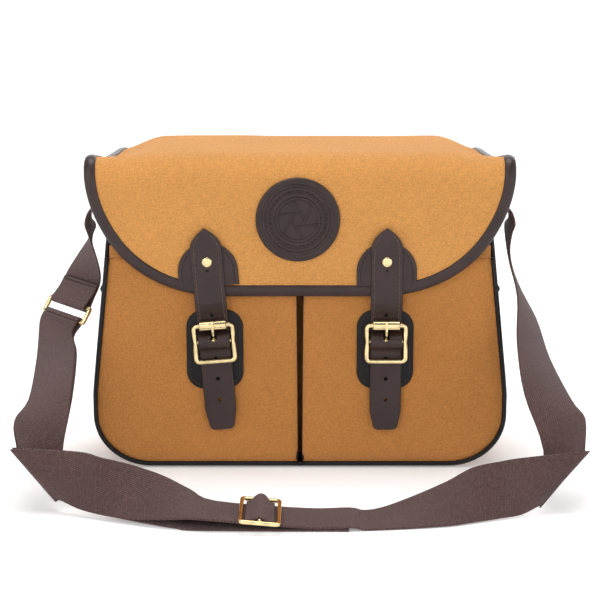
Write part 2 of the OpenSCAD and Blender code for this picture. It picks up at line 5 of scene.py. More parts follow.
import bmesh
import bpy
from bpy.props import FloatProperty, FloatVectorProperty, PointerProperty
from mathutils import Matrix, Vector


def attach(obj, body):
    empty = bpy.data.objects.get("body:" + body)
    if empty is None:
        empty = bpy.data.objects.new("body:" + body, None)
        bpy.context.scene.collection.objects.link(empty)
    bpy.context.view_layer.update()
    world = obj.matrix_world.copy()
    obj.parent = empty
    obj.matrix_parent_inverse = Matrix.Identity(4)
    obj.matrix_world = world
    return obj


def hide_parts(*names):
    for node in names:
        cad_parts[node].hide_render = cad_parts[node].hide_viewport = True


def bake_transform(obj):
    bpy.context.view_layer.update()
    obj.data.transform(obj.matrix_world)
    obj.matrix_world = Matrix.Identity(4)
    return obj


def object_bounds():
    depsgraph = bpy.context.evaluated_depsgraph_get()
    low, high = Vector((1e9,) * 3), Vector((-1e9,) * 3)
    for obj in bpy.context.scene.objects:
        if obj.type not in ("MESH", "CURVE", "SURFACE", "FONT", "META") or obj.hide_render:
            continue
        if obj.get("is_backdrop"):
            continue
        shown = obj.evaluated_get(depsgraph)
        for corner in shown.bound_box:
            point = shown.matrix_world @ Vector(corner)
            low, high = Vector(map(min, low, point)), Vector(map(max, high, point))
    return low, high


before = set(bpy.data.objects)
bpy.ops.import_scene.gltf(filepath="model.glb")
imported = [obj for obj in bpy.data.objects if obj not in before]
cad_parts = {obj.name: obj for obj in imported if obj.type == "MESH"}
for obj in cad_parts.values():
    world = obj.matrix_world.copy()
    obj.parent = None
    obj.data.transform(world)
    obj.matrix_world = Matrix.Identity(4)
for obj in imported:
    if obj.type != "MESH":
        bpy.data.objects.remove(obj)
CAD_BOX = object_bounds()

bl_info = {
    "name": "Camera Shoulder Bag",
    "version": (1, 0, 0),
    "blender": (4, 5, 0),
    "location": "3D View > Sidebar > Bag",
    "description": "Builds a canvas camera bag with leather trim and a webbing strap",
    "category": "Object",
}

MM = 0.001

# Body, in millimetres
BODY_W, BODY_TOP_W, BODY_H, FRONT_H = 400, 354, 285, 268
SIDE_Z, CORNER_RX, CORNER_RZ = 74, 56, 52
Y_FRONT, Y_BACK = -45, 45
GUSSET_HALF_Y = 42
Y_POCKET, POCKET_IN, POCKET_H, POCKET_LOW, POCKET_GAP = -80, 4, 206, 3, 4
POCKET_WALL_Y, POCKET_DEPTH, POCKET_PIPING_Y, HEM_Y, HEM_UP = -77.6, 31, -78.7, -78.6, 6
# Padded insert
INSERT_LOW, INSERT_TOP, INSERT_WALL, INSERT_HALF_Y = 6.2, 210, 9, 41.3
DIVIDER_X, DIVIDER_Z = 62, 108
# Pocket patches
POCKET_PATCH_X, POCKET_PATCH_W, POCKET_PATCH_H, POCKET_PATCH_LOW, POCKET_PATCH_Y = 81, 54, 77.5, 79, -82
# Flap: the roll over the front edge, the rise of its top in degrees, and how far its corners hang
ROLL_Y, ROLL_Z, ROLL_R, RISE, TOP_LEN, CORNER_DROP = -61, 280, 22, 4, 83, 17
FLAP_HALF_W, FLAP_LOW, SHIELD_X, SHIELD_Z, SHIELD_POW = 202, 170, 70, 304, 2.2
FLAP_BACK_HALF_W, BINDING_W = 180, 11
BADGE_X, BADGE_Z, BADGE_R = -2, 243.5, 39.5
BADGE_SEAM_R, BEAD_RING_R, BEADS, BLADES = 36.6, 26.2, 36, 6
PATCH_R, PATCH_SEAM_R, PATCH_Z, PATCH_T = 28.3, 24.6, 26, 2.5
FACE_Y = ROLL_Y - ROLL_R - 3
# Closing straps: x, lean in degrees, of the bend at the flap's lower edge
BEND_Y, BEND_Z = -89.7, 168
STRAPS = {"left": (-84.4, 4.5), "right": (81.6, 0)}
STRAP_W, STRAP_T, STRAP_UP, TAIL_LEN = 30, 2.8, 68, 128.5
BUCKLE_Y, BUCKLE_Z, BUCKLE_W, BUCKLE_H, WIRE = -90.1, -42.5, 41, 39, 4.3
TOP_BAR_Z, CENTRE_BAR_Z = BUCKLE_H / 2 - WIRE / 2, 2
HOLES = (-16.1, -57.5, -78.1, -98.8)
RIVET_Z = 36
# Side fittings
SIDE_PATCH_W, SIDE_PATCH_Y, TAB_FOLD_R, RING_HALF_W, RING_DROP = 58, 2.1, 3.2, 15, 10
PIVOT_Z, TAB_Y, TAB_Z, TAB_W, RING_WIRE = 218, 18, 158, 16, 1.75
# Shoulder webbing
WEB_W, WEB_T, SLOPE = 50, 2, 5
SLIDER_X, SLIDER_Y = -35, -236


# ---------------------------------------------------------------- shader expressions

class Field:
    """A shader value. Arithmetic on it adds the Math node that does the sum."""

    def __init__(self, finish, socket):
        self.finish, self.socket = finish, socket

    def _sum(self, operation, *terms):
        return self.finish.node("ShaderNodeMath", dict(operation=operation), *terms)

    def __add__(self, other):
        return self._sum("ADD", self, other)

    def __sub__(self, other):
        return self._sum("SUBTRACT", self, other)

    def __rsub__(self, other):
        return self._sum("SUBTRACT", other, self)

    def __mul__(self, other):
        return self._sum("MULTIPLY", self, other)

    def __pow__(self, other):
        return self._sum("POWER", self, other)

    def __rpow__(self, other):
        return self._sum("POWER", other, self)

    __radd__, __rmul__ = __add__, __mul__

    def sine(self):
        return self._sum("SINE", self)

    def ramp(self, low, high):
        """0 below low, 1 above high, smooth between."""
        return self.finish.node("ShaderNodeMapRange", dict(interpolation_type="SMOOTHSTEP"),
                                self, low, high, 0.0, 1.0)


class Finish:
    """A material with one Principled shader, and the nodes that feed it."""

    def __init__(self, name):
        self.material = bpy.data.materials.new(name)
        self.material.use_nodes = True
        self.tree = self.material.node_tree
        self.shader = self.tree.nodes["Principled BSDF"]

    def node(self, kind, settings=None, *values, out=0, **named):
        made = self.tree.nodes.new(kind)
        for key, value in (settings or {}).items():
            setattr(made, key, value)
        for place, value in [*enumerate(values), *named.items()]:
            socket = made.inputs[place if isinstance(place, int) else place.replace("_", " ")]
            if isinstance(value, Field):
                self.tree.links.new(value.socket, socket)
            elif value is not None:
                socket.default_value = value
        return Field(self, made.outputs[out])

    def set(self, **values):
        for key, value in values.items():
            socket = self.shader.inputs[key.replace("_", " ")]
            if isinstance(value, Field):
                self.tree.links.new(value.socket, socket)
            else:
                socket.default_value = value

    def place(self, flat):
        """Coordinates in metres: along the cloth where flat, and through space otherwise."""
        return self.node("ShaderNodeTexCoord", None, out="UV" if flat else "Object")

    def stretch(self, at, scale):
        return self.node("ShaderNodeMapping", None, at, Scale=scale)

    def noise(self, at, scale, detail=2.0, roughness=0.5):
        return self.node("ShaderNodeTexNoise", None, Vector=at, Scale=scale, Detail=detail,
                         Roughness=roughness)

    def mix(self, factor, one, other):
        made = self.tree.nodes.new("ShaderNodeMix")
        made.data_type = "RGBA"
        for place, value in ((0, factor), (6, one), (7, other)):
            if isinstance(value, Field):
                self.tree.links.new(value.socket, made.inputs[place])
            else:
                made.inputs[place].default_value = value if place == 0 else (*value, 1.0)
        return Field(self, made.outputs[2])

    def parts(self, vector):
        made = self.tree.nodes.new("ShaderNodeSeparateXYZ")
        self.tree.links.new(vector.socket, made.inputs[0])
        return [Field(self, socket) for socket in made.outputs]

    def bump(self, height, strength, distance, under=None):
        return self.node("ShaderNodeBump", None, Strength=strength, Distance=distance,
                         Height=height, Normal=under)


def shade(colour, factor):
    return tuple(min(1.0, part * factor) for part in colour)


def canvas_finish(name, colour, flat=True, slub=0.62, thread=0.0015):
    """Plain-weave cotton: threads both ways, with thick and thin yarn that shows as flecks."""
    f = Finish(name)
    at = f.place(flat)
    across, along, _ = f.parts(at)
    turn = 2 * math.pi / thread
    weave = ((across + along * 0.6) * turn).sine() * 0.6 + (along * turn * 1.3).sine() * 0.4
    warp = f.noise(f.stretch(at, (1500, 420, 300)), 1.0, 2.0)
    weft = f.noise(f.stretch(at, (420, 1500, 300)), 1.0, 2.0)
    fleck = (warp + weft) * 0.5
    thick = (f.noise(f.stretch(at, (820, 130, 85)), 1.0, 2.0)
             + f.noise(f.stretch(at, (130, 820, 85)), 1.0, 2.0)) * 0.5
    cloud = f.noise(at, 11.0, 4.0, 0.6)
    tone = ((fleck.ramp(0.33, 0.67) - 0.5) * slub + (thick.ramp(0.36, 0.64) - 0.5) * 0.3
            + (cloud - 0.5) * 0.35 + weave * 0.10 + 0.5)
    f.set(Base_Color=f.mix(tone, shade(colour, 0.72), shade(colour, 1.27)),
          Roughness=f.noise(at, 600.0) * 0.1 + 0.82,
          Normal=f.bump(weave * 0.5 + fleck * 0.9 + thick, 0.8, 0.0008),
          Sheen_Weight=0.12, Sheen_Roughness=0.45, Specular_IOR_Level=0.15)
    return f.material


def leather_finish(name, colour, gloss=0.38, shine=0.34):
    """Smooth dyed leather: fine pores, a soft mottle and slightly rubbed high spots."""
    f = Finish(name)
    at = f.place(False)
    pores = f.node("ShaderNodeTexVoronoi", dict(feature="DISTANCE_TO_EDGE"), Vector=at, Scale=900.0)
    grain = pores.ramp(0.0, 0.22)
    mottle = f.noise(at, 38.0, 4.0, 0.6)
    worn = f.noise(at, 150.0, 3.0, 0.6).ramp(0.55, 0.8)
    base = f.mix(mottle.ramp(0.3, 0.7), shade(colour, 0.8), shade(colour, 1.2))
    base = f.mix(worn * 0.35, base, shade(colour, 1.9))
    f.set(Base_Color=f.mix((1 - grain) * 0.25, base, shade(colour, 0.45)),
          Roughness=mottle * 0.14 + (gloss - 0.07),
          Normal=f.bump(grain * 0.4 + mottle * 0.8, 0.35, 0.0003),
          Coat_Weight=0.06, Coat_Roughness=0.3, Specular_IOR_Level=shine)
    return f.material


def brass_finish(name, colour, dull):
    """Polished pale brass with faint brushing and darker handling marks."""
    f = Finish(name)
    at = f.place(False)
    marks = f.noise(at, 90.0, 4.0, 0.6)
    fine = f.noise(f.stretch(at, (300, 2500, 2500)), 1.0, 2.0)
    f.set(Base_Color=f.mix(marks.ramp(0.35, 0.75), shade(colour, 1.08), shade(colour, dull)),
          Metallic=1.0, Roughness=marks * 0.12 + fine * 0.06 + 0.13,
          Normal=f.bump(fine + marks, 0.12, 0.0002))
    return f.material


def webbing_finish(name, colour):
    """Heavy twill webbing: steep ribs across the width, broken by the weft."""
    f = Finish(name)
    at = f.place(True)
    across, along, _ = f.parts(at)
    rib = ((across + along * 0.62) * (2 * math.pi / 0.0018)).sine()
    cross = (along * (2 * math.pi / 0.0015)).sine()
    rough = f.noise(at, 700.0, 2.0)
    shadow = f.noise(at, 26.0, 3.0)
    coarse = f.noise(f.stretch(at, (260, 420, 260)), 1.0, 2.0)
    tone = (rib * 0.34 + cross * 0.12 + (rough - 0.5) * 0.8 + (coarse - 0.5) * 1.1
            + (shadow - 0.5) * 0.4 + 0.45)
    f.set(Base_Color=f.mix(tone.ramp(0.0, 1.0), shade(colour, 0.55), shade(colour, 1.55)),
          Roughness=rough * 0.1 + 0.78,
          Normal=f.bump(rib * 0.7 + cross * 0.35 + rough * 0.4, 0.7, 0.0005),
          Sheen_Weight=0.15, Sheen_Roughness=0.5, Specular_IOR_Level=0.25)
    return f.material


def thread_finish(name, colour):
    """Waxed sewing thread with its twist showing."""
    f = Finish(name)
    at = f.place(False)
    twist = f.node("ShaderNodeTexWave", dict(bands_direction="DIAGONAL"), Vector=at, Scale=1400.0)
    wax = f.noise(at, 400.0)
    f.set(Base_Color=f.mix(wax * 0.6 + twist * 0.4, shade(colour, 0.7), shade(colour, 1.25)),
          Roughness=0.6, Normal=f.bump(twist, 0.4, 0.0002))
    return f.material


def padding_finish(name, colour):
    """Brushed tricot over foam."""
    f = Finish(name)
    at = f.place(False)
    nap = f.noise(at, 1500.0, 3.0, 0.7)
    cloud = f.noise(at, 30.0)
    f.set(Base_Color=f.mix(nap * 0.7 + cloud * 0.3, shade(colour, 0.7), shade(colour, 1.4)),
          Roughness=0.95, Normal=f.bump(nap, 0.5, 0.0004), Sheen_Weight=0.4)
    return f.material


def board_finish(name, colour):
    f = Finish(name)
    at = f.place(False)
    fibre = f.noise(at, 500.0, 3.0)
    f.set(Base_Color=f.mix(fibre, shade(colour, 0.8), shade(colour, 1.3)), Roughness=0.7,
          Normal=f.bump(fibre, 0.3, 0.0003))
    return f.material


def floor_finish(name, colour):
    """Matt paper sweep, which glows a little more far away, so that it fades to white."""
    f = Finish(name)
    at = f.place(False)
    x, y, z = f.parts(at)
    away = (x * x + y * y + z * z) ** 0.5
    f.set(Base_Color=f.mix(f.noise(at, 3.0), shade(colour, 0.995), colour), Roughness=0.9,
          Specular_IOR_Level=0.1, Emission_Color=away.ramp(1.2, 3.6) * 0.34 + 0.2,
          Emission_Strength=1.0)
    return f.material


MADE = {}


def finish(slot):
    """The material of a finish, made once from the colours in the settings."""
    look = bpy.context.scene.bag_looks
    makers = {
        "canvas": lambda: canvas_finish("Tan canvas", look.canvas),
        # Darker copy of the canvas for the panels, pockets and hems: partly a deeper cloth tone, partly
        # painted shade, as these catch less light than the flap.
        "tone_and_shade_canvas": lambda: canvas_finish("Tan canvas, deeper tone and painted shade", look.tone_and_shade_canvas),
        # A still darker copy for the side wall, pocket walls and seam tape: painted shade, as these surfaces
        # face away from the lights.
        "side_canvas": lambda: canvas_finish("Tan side canvas, painted shade", shade(look.tone_and_shade_canvas, 0.9)),
        "lining": lambda: canvas_finish("Cotton lining", look.lining, slub=0.3, thread=0.0012),
        "leather": lambda: leather_finish("Dark brown leather", look.leather),
        "black_leather": lambda: leather_finish("Black leather trim", look.trim, 0.5, 0.2),
        "brass": lambda: brass_finish("Pale brass", look.brass, 0.72),
        "webbing": lambda: webbing_finish("Brown twill webbing", look.webbing),
        "thread": lambda: thread_finish("Brown thread", look.thread),
        "dark_thread": lambda: thread_finish("Dark thread", shade(look.thread, 0.22)),
        "tan_thread": lambda: thread_finish("Tan thread", shade(look.canvas, 0.6)),
        "padding": lambda: padding_finish("Padded tricot", (0.045, 0.042, 0.042)),
        "board": lambda: board_finish("Stiffening board", (0.012, 0.012, 0.013)),
        "floor": lambda: floor_finish("Pale floor", look.floor),
    }
    if slot not in MADE:
        MADE[slot] = makers[slot]()
    return MADE[slot]


# ---------------------------------------------------------------- mesh helpers

def v3(*point):
    return Vector(point if len(point) > 1 else point[0])


def piece(name, points, faces, slot, body=None, uv=None, smooth=True, replaces=(), material=None):
    """A mesh from points in millimetres. uv holds one pair in metres for each point."""
    mesh = bpy.data.meshes.new(name)
    mesh.from_pydata([Vector(p) * MM for p in points], [], faces)
    if uv is not None:
        layer = mesh.uv_layers.new(name="Cloth")
        for loop in mesh.loops:
            layer.data[loop.index].uv = uv[loop.vertex_index]
    mesh.polygons.foreach_set("use_smooth", [smooth] * len(mesh.polygons))
    mesh.validate()
    mesh.update()
    obj = bpy.data.objects.new(name, mesh)
    bpy.context.collection.objects.link(obj)
    mesh.materials.append(finish(material or slot))
    if body:
        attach(obj, body)
    if replaces:
        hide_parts(*replaces)
    return obj


def applied(obj, *modifiers):
    """Adds the modifiers, each a type and its settings, and makes them part of the mesh."""
    for kind, settings in modifiers:
        made = obj.modifiers.new(kind.title(), kind)
        for key, value in settings.items():
            setattr(made, key, value)
    graph = bpy.context.evaluated_depsgraph_get()
    mesh = bpy.data.meshes.new_from_object(obj.evaluated_get(graph))
    obj.modifiers.clear()
    old, obj.data = obj.data, mesh
    bpy.data.meshes.remove(old)
    return obj


def polar(r, degrees):
    a = math.radians(degrees)
    return r * math.cos(a), r * math.sin(a)


def arc(r, degrees, x=0.0, z=0.0):
    """Points on a circle round (x, z), one at each angle."""
    return [(x + a, z + b) for a, b in (polar(r, d) for d in degrees)]


def neighbours(points, i):
    """The points before and after one, or itself at an end of the run."""
    return Vector(points[max(i - 1, 0)]), Vector(points[min(i + 1, len(points) - 1)])


def caps(count, wide):
    """The two end faces of a tube made of count loops of wide points."""
    return [list(reversed(range(wide))), [(count - 1) * wide + k for k in range(wide)]]


def steps(points):
    """Running length along a row of points."""
    total, out = 0.0, [0.0]
    for a, b in zip(points, points[1:]):
        total += (Vector(b) - Vector(a)).length
        out.append(total)
    return out


def grid_data(rows, closed=False, capped=False):
    """Points, faces and cloth coordinates of a sheet given as rows of points. Closed rows are
    loops, and capped adds a face at each end."""
    wide = len(rows[0])
    points = [p for row in rows for p in row]
    faces = []
    for i in range(len(rows) - 1):
        for j in range(wide if closed else wide - 1):
            a, b = i * wide + j, i * wide + (j + 1) % wide
            faces.append([a, b, b + wide, a + wide])
    down = steps([row[wide // 2] for row in rows])
    uv = []
    for i, row in enumerate(rows):
        across = steps(row)
        middle = across[wide // 2]
        uv += [((s - middle) * MM, down[i] * MM) for s in across]
    if capped:
        faces += caps(len(rows), wide)
    return points, faces, uv


def turned_frames(path, up=None):
    """Side and up directions along a path, carried without twist, or held to up."""
    path = [Vector(p) for p in path]
    out = []
    side = None
    for i, p in enumerate(path):
        before, after = neighbours(path, i)
        ahead = (after - before).normalized()
        if up is not None:
            u = Vector(up[i] if isinstance(up, list) else up)
            side = ahead.cross(u).normalized()
        elif side is None:
            spare = Vector((0, 0, 1)) if abs(ahead.z) < 0.9 else Vector((1, 0, 0))
            side = ahead.cross(spare).normalized()
        else:
            side = (side - ahead * side.dot(ahead)).normalized()
        out.append((side, side.cross(ahead)))
    return out


def sweep_data(path, section, up=None, closed=False):
    """A section of (side, up) pairs carried along a path; open runs are capped."""
    path = [Vector(p) for p in path]
    if closed:
        around = [up[-1], *up, up[0]] if isinstance(up, list) else up
        frames = turned_frames([path[-1], *path, path[0]], around)[1:-1]
    else:
        frames = turned_frames(path, up)
    wide = len(section)
    points = [p + side * a + u * b for p, (side, u) in zip(path, frames) for a, b in section]
    rows = len(path)
    faces = []
    for i in range(rows if closed else rows - 1):
        for j in range(wide):
            k, nxt = (j + 1) % wide, (i + 1) % rows
            faces.append([i * wide + j, i * wide + k, nxt * wide + k, nxt * wide + j])
    if not closed:
        faces += caps(rows, wide)
    run = steps(path)
    round_it = steps([(*s, 0) for s in section])
    uv = [(run[i] * MM, round_it[j] * MM) for i in range(rows) for j in range(wide)]
    return points, faces, uv


def circle(r, sides=12):
    return [(r * math.cos(2 * math.pi * k / sides), r * math.sin(2 * math.pi * k / sides))
            for k in range(sides)]


def soft_box(w, h, r, per=3):
    """A rounded rectangle of (x, z) pairs, anticlockwise."""
    out = []
    for k, (sx, sz) in enumerate([(1, 1), (-1, 1), (-1, -1), (1, -1)]):
        for i in range(per + 1):
            a = math.radians(90 * k + 90 * i / per)
            out.append((sx * (w / 2 - r) + r * math.cos(a), sz * (h / 2 - r) + r * math.sin(a)))
    return out


def joined(name, parts, slot, body=None, **more):
    """One piece from several sets of points, faces and cloth coordinates."""
    points, faces, uv = [], [], []
    for part_points, part_faces, part_uv in parts:
        base = len(points)
        points += part_points
        faces += [[base + k for k in face] for face in part_faces]
        uv += part_uv
    return piece(name, points, faces, slot, body, uv=uv, **more)


def stand_in(node, suffix, parts, slot, body=None, **more):
    """A piece that takes a CAD node's place and is named after it."""
    return joined(f"{node}_{suffix}", parts, slot, body, replaces=(node,), **more)


def tube_data(path, r, closed=False, sides=12, up=None):
    return sweep_data(path, circle(r, sides), up, closed)


def bar_data(path, w, h, r, per=3, up=(0, 0, 1), closed=False):
    """A bar of rounded rectangular section along a path, with one side held to up."""
    return sweep_data(path, soft_box(w, h, r, per), [up] * len(path), closed)


def plate(outline, back, front, bevel, place, rings=3):
    """A plate between two depths, from an outline of (x, z), with rounded rims on both faces."""
    centre = Vector((sum(p[0] for p in outline) / len(outline),
                     sum(p[1] for p in outline) / len(outline)))

    def ring(inset, y):
        out = []
        for i, p in enumerate(outline):
            a, b = Vector(outline[i - 1]), Vector(outline[(i + 1) % len(outline)])
            along = (b - a).normalized()
            inward = Vector((-along.y, along.x))
            if inward.dot(centre - Vector(p)) < 0:
                inward = -inward
            q = Vector(p) + inward * inset
            out.append(place((q.x, y, q.y)))
        return out

    turns = [math.pi / 2 * k / rings for k in range(rings + 1)]
    rows = [ring(bevel * (1 - math.sin(a)), back - bevel * (1 - math.cos(a))) for a in turns]
    rows += [ring(bevel * (1 - math.cos(a)), front + bevel * (1 - math.sin(a))) for a in turns]
    points, faces, _ = grid_data(rows, closed=True, capped=True)
    return points, faces, [(p[0] * MM, p[2] * MM) for p in points]


def eased(stations, n):
    """Extra stations on smooth curves through the given ones."""
    out = []
    for i in range(len(stations) - 1):
        four = [stations[max(i - 1, 0)], stations[i], stations[i + 1],
                stations[min(i + 2, len(stations) - 1)]]
        for k in range(n):
            t = k / n
            pair = []
            for e in range(len(four[0])):
                p0, p1, p2, p3 = (Vector(s[e]) for s in four)
                pair.append(0.5 * (2 * p1 + (p2 - p0) * t + (2 * p0 - 5 * p1 + 4 * p2 - p3) * t * t
                                   + (3 * p1 - p0 - 3 * p2 + p3) * t ** 3))
            out.append(pair)
    out.append([Vector(p) for p in stations[-1]])
    return out


def spaced(path, pitch, first=0.5):
    """Places, directions and row numbers every pitch along a path, first of them in part."""
    run = steps(path)
    out, at, i = [], pitch * first, 0
    while at < run[-1]:
        while run[i + 1] < at:
            i += 1
        a, b = Vector(path[i]), Vector(path[i + 1])
        t = (at - run[i]) / max(run[i + 1] - run[i], 1e-9)
        out.append((a.lerp(b, t), (b - a).normalized(), i + t))
        at += pitch
    return out


def stitch_row(name, paths, ups, slot, body=None, pitch=4.2, length=3.0, r=0.42,
               thread="thread", lift=0.16):
    """Rows of raised stitches whose ends dive into the leather or cloth. ups holds the outward
    direction at each point of each path."""
    parts = []
    for path, up in zip(paths, ups):
        for at, ahead, place in spaced(path, pitch):
            k = min(int(place), len(path) - 1)
            out = Vector(up[k] if isinstance(up, list) else up).normalized()
            half = ahead * length / 2
            spine = [at - half - out * r * 0.9, at - half * 0.7 + out * lift, at + out * (lift + 0.15),
                     at + half * 0.7 + out * lift, at + half - out * r * 0.9]
            parts.append(sweep_data(spine, circle(r, 6), up=[out] * len(spine)))
    return joined(name, parts, slot, body, material=thread)


def smooth_step(t):
    t = max(0.0, min(1.0, t))
    return t * t * (3 - 2 * t)


# ---------------------------------------------------------------- body outline

def side_at(z):
    return BODY_W / 2 - (z - SIDE_Z) * (BODY_W - BODY_TOP_W) / 2 / (BODY_H - SIDE_Z)


def half_width(z, inset):
    """Half width of the body at a height, drawn inset inside the full outline."""
    low = max(inset, 0)
    if z >= SIDE_Z:
        return side_at(z) - inset
    if z >= CORNER_RZ:
        return BODY_W / 2 - inset
    up = max(0.0, min(1.0, (CORNER_RZ - z) / (CORNER_RZ - low)))
    return BODY_W / 2 - CORNER_RX + (CORNER_RX - inset) * math.sqrt(1 - up * up)


def half_outline(inset, top, low_x=0.0):
    """From the middle of the base out round a lower corner and up to a height, as (x, z)."""
    low = max(inset, 0)
    flat = BODY_W / 2 - CORNER_RX
    out = [(low_x + (flat - low_x) * k / 12, low) for k in range(12)]
    for k in range(17):
        a = math.radians(-90 + 90 * k / 16)
        out.append((flat + (CORNER_RX - inset) * math.cos(a), CORNER_RZ + (CORNER_RZ - low) * math.sin(a)))
    for k in range(1, 25):
        z = CORNER_RZ + (top - CORNER_RZ) * k / 24
        out.append((half_width(z, inset), z))
    return out


def whole_outline(inset, top):
    right = half_outline(inset, top)
    return [(-x, z) for x, z in reversed(right)] + right[1:]


def wall_point(side, z, out, y):
    """A point on a side wall's own frame: out of the wall, at a height up it."""
    lean = math.atan(0.5 * (BODY_W - BODY_TOP_W) / (BODY_H - SIDE_Z))
    return Vector((side * (side_at(z) + out * math.cos(lean)), y, z + out * math.sin(lean)))


def ripple(x, z, seed=0.0):
    """A slow unevenness, as hand-pressed cloth has, from -1 to 1."""
    return (math.sin(x * 0.031 + z * 0.017 + seed) * 0.5 + math.sin(x * 0.011 - z * 0.043 + seed * 2.3) * 0.3
            + math.sin(x * 0.067 + z * 0.051 + seed * 1.7) * 0.2)


# ---------------------------------------------------------------- body pieces

def heights(low, top, n):
    """Heights up a panel, closer together round the lower corners."""
    corner = [low + (CORNER_RZ - low) * (1 - math.cos(math.pi / 2 * k / 12)) for k in range(12)]
    return corner + [CORNER_RZ + (top - CORNER_RZ) * k / n for k in range(n + 1)]


def body_panel(name, node, y, face, top, crown):
    """A panel that fills out a little between its seams. face is -1 for the front, 1 for the back."""
    rows = []
    for z in heights(3, top, 22):
        w = half_width(z, 3)
        row = []
        for j in range(49):
            t = j / 24 - 1
            fill = (1 - abs(t) ** 3) * math.sin(math.pi * min(1.0, max(0.0, (z - 3) / (top - 3)))) ** 0.5
            x = t * w
            row.append((x, y + face * (fill * (crown + ripple(x, z, face) * 0.6)), z))
        rows.append(row if face < 0 else row[::-1])
    points, faces, uv = grid_data(rows)
    panel = piece(name, points, faces, "canvas", "bag_body", uv=uv, replaces=(node,),
                  material="tone_and_shade_canvas")
    return applied(panel, ("SOLIDIFY", dict(thickness=0.003, offset=-1.0)))


def gusset():
    """The side wall and base in one long strip, billowing between the two piped seams."""
    path = whole_outline(0, FRONT_H)
    rows = []
    for i, (x, z) in enumerate(path):
        a, b = neighbours(path, i)
        ahead = (b - a).normalized()
        out = Vector((ahead.y, -ahead.x))
        swell = smooth_step((z - 20) / 60)
        row = []
        for j in range(15):
            y = -GUSSET_HALF_Y + 2 * GUSSET_HALF_Y * j / 14
            bulge = swell * (math.cos(math.pi * y / 90) * 2.2 + ripple(y * 2, z, x) * 0.7)
            row.append((x + out.x * bulge, y, max(0.3, z + out.y * bulge)))
        rows.append(row)
    points, faces, uv = grid_data(rows)
    wall = piece("gusset_wall", points, faces, "side_canvas", "bag_body", uv=uv,
                 replaces=("gusset_band",))
    return applied(wall, ("SOLIDIFY", dict(thickness=0.0026, offset=-1.0)))


class BAG_OT_body(bpy.types.Operator):
    """Panels, side wall, piping and mouth binding of the body"""
    bl_idname = "bag.body"
    bl_label = "Body"

    def execute(self, context):
        r = context.scene.bag_sizes.piping_r * 1000
        body_panel("front_cloth", "front_panel", Y_FRONT, -1, FRONT_H, 0.8)
        body_panel("back_cloth", "back_panel", Y_BACK, 1, BODY_H, 5)
        gusset()
        for name, y, top in (("front_piping", Y_FRONT + 0.8, FRONT_H),
                             ("back_piping", Y_BACK - 0.8, BODY_H - 3)):
            seam = [(x, y, max(z, r)) for x, z in whole_outline(-0.2, top)]
            stand_in(name, "cord", [tube_data(seam, r)], "black_leather", "bag_body")
            face = -1 if y < 0 else 1
            path = [(x, y + face * 1.2, max(z, 7.5)) for x, z in whole_outline(6.5, top - 6)]
            stitch_row(name + "_stitches", [path], [(0, face, 0)], "canvas", "bag_body", pitch=4.5,
                       thread="tan_thread")
        w = side_at(FRONT_H) - 5
        path = [(-w + 2 * w * k / 40, Y_FRONT + 1.5, FRONT_H + 3.2 + 0.5 * math.sin(k * 0.8))
                for k in range(41)]
        joined("mouth_edge", [bar_data(path, 5, 7, 2.2)], "leather", "bag_body",
               replaces=("mouth_binding",))
        rows = [(x, Y_FRONT - 1.2, FRONT_H + 0.6 + 0.5 * math.sin(k * 0.8))
                for k, (x, _, _) in enumerate(path)]
        stitch_row("mouth_stitches", [rows], [(0, -1, 0)], "leather", "bag_body")
        return {"FINISHED"}


def plan_loop(half_x, half_y, r, z, bow=0.0):
    """A rounded rectangle in plan, with its long sides bowed in by bow."""
    out = []
    corners = soft_box(2 * half_x, 2 * half_y, r, 4)
    for i, (a, b) in enumerate(zip(corners, corners[1:] + corners[:1])):
        n = {4: 14, 14: 14, 9: 4, 19: 4}.get(i, 1)
        for k in range(n):
            p = Vector(a).lerp(Vector(b), k / n)
            lift = math.sin(math.pi * k / n) * bow if n == 14 else 0.0
            out.append((p.x, p.y - math.copysign(lift, p.y), z))
    return out


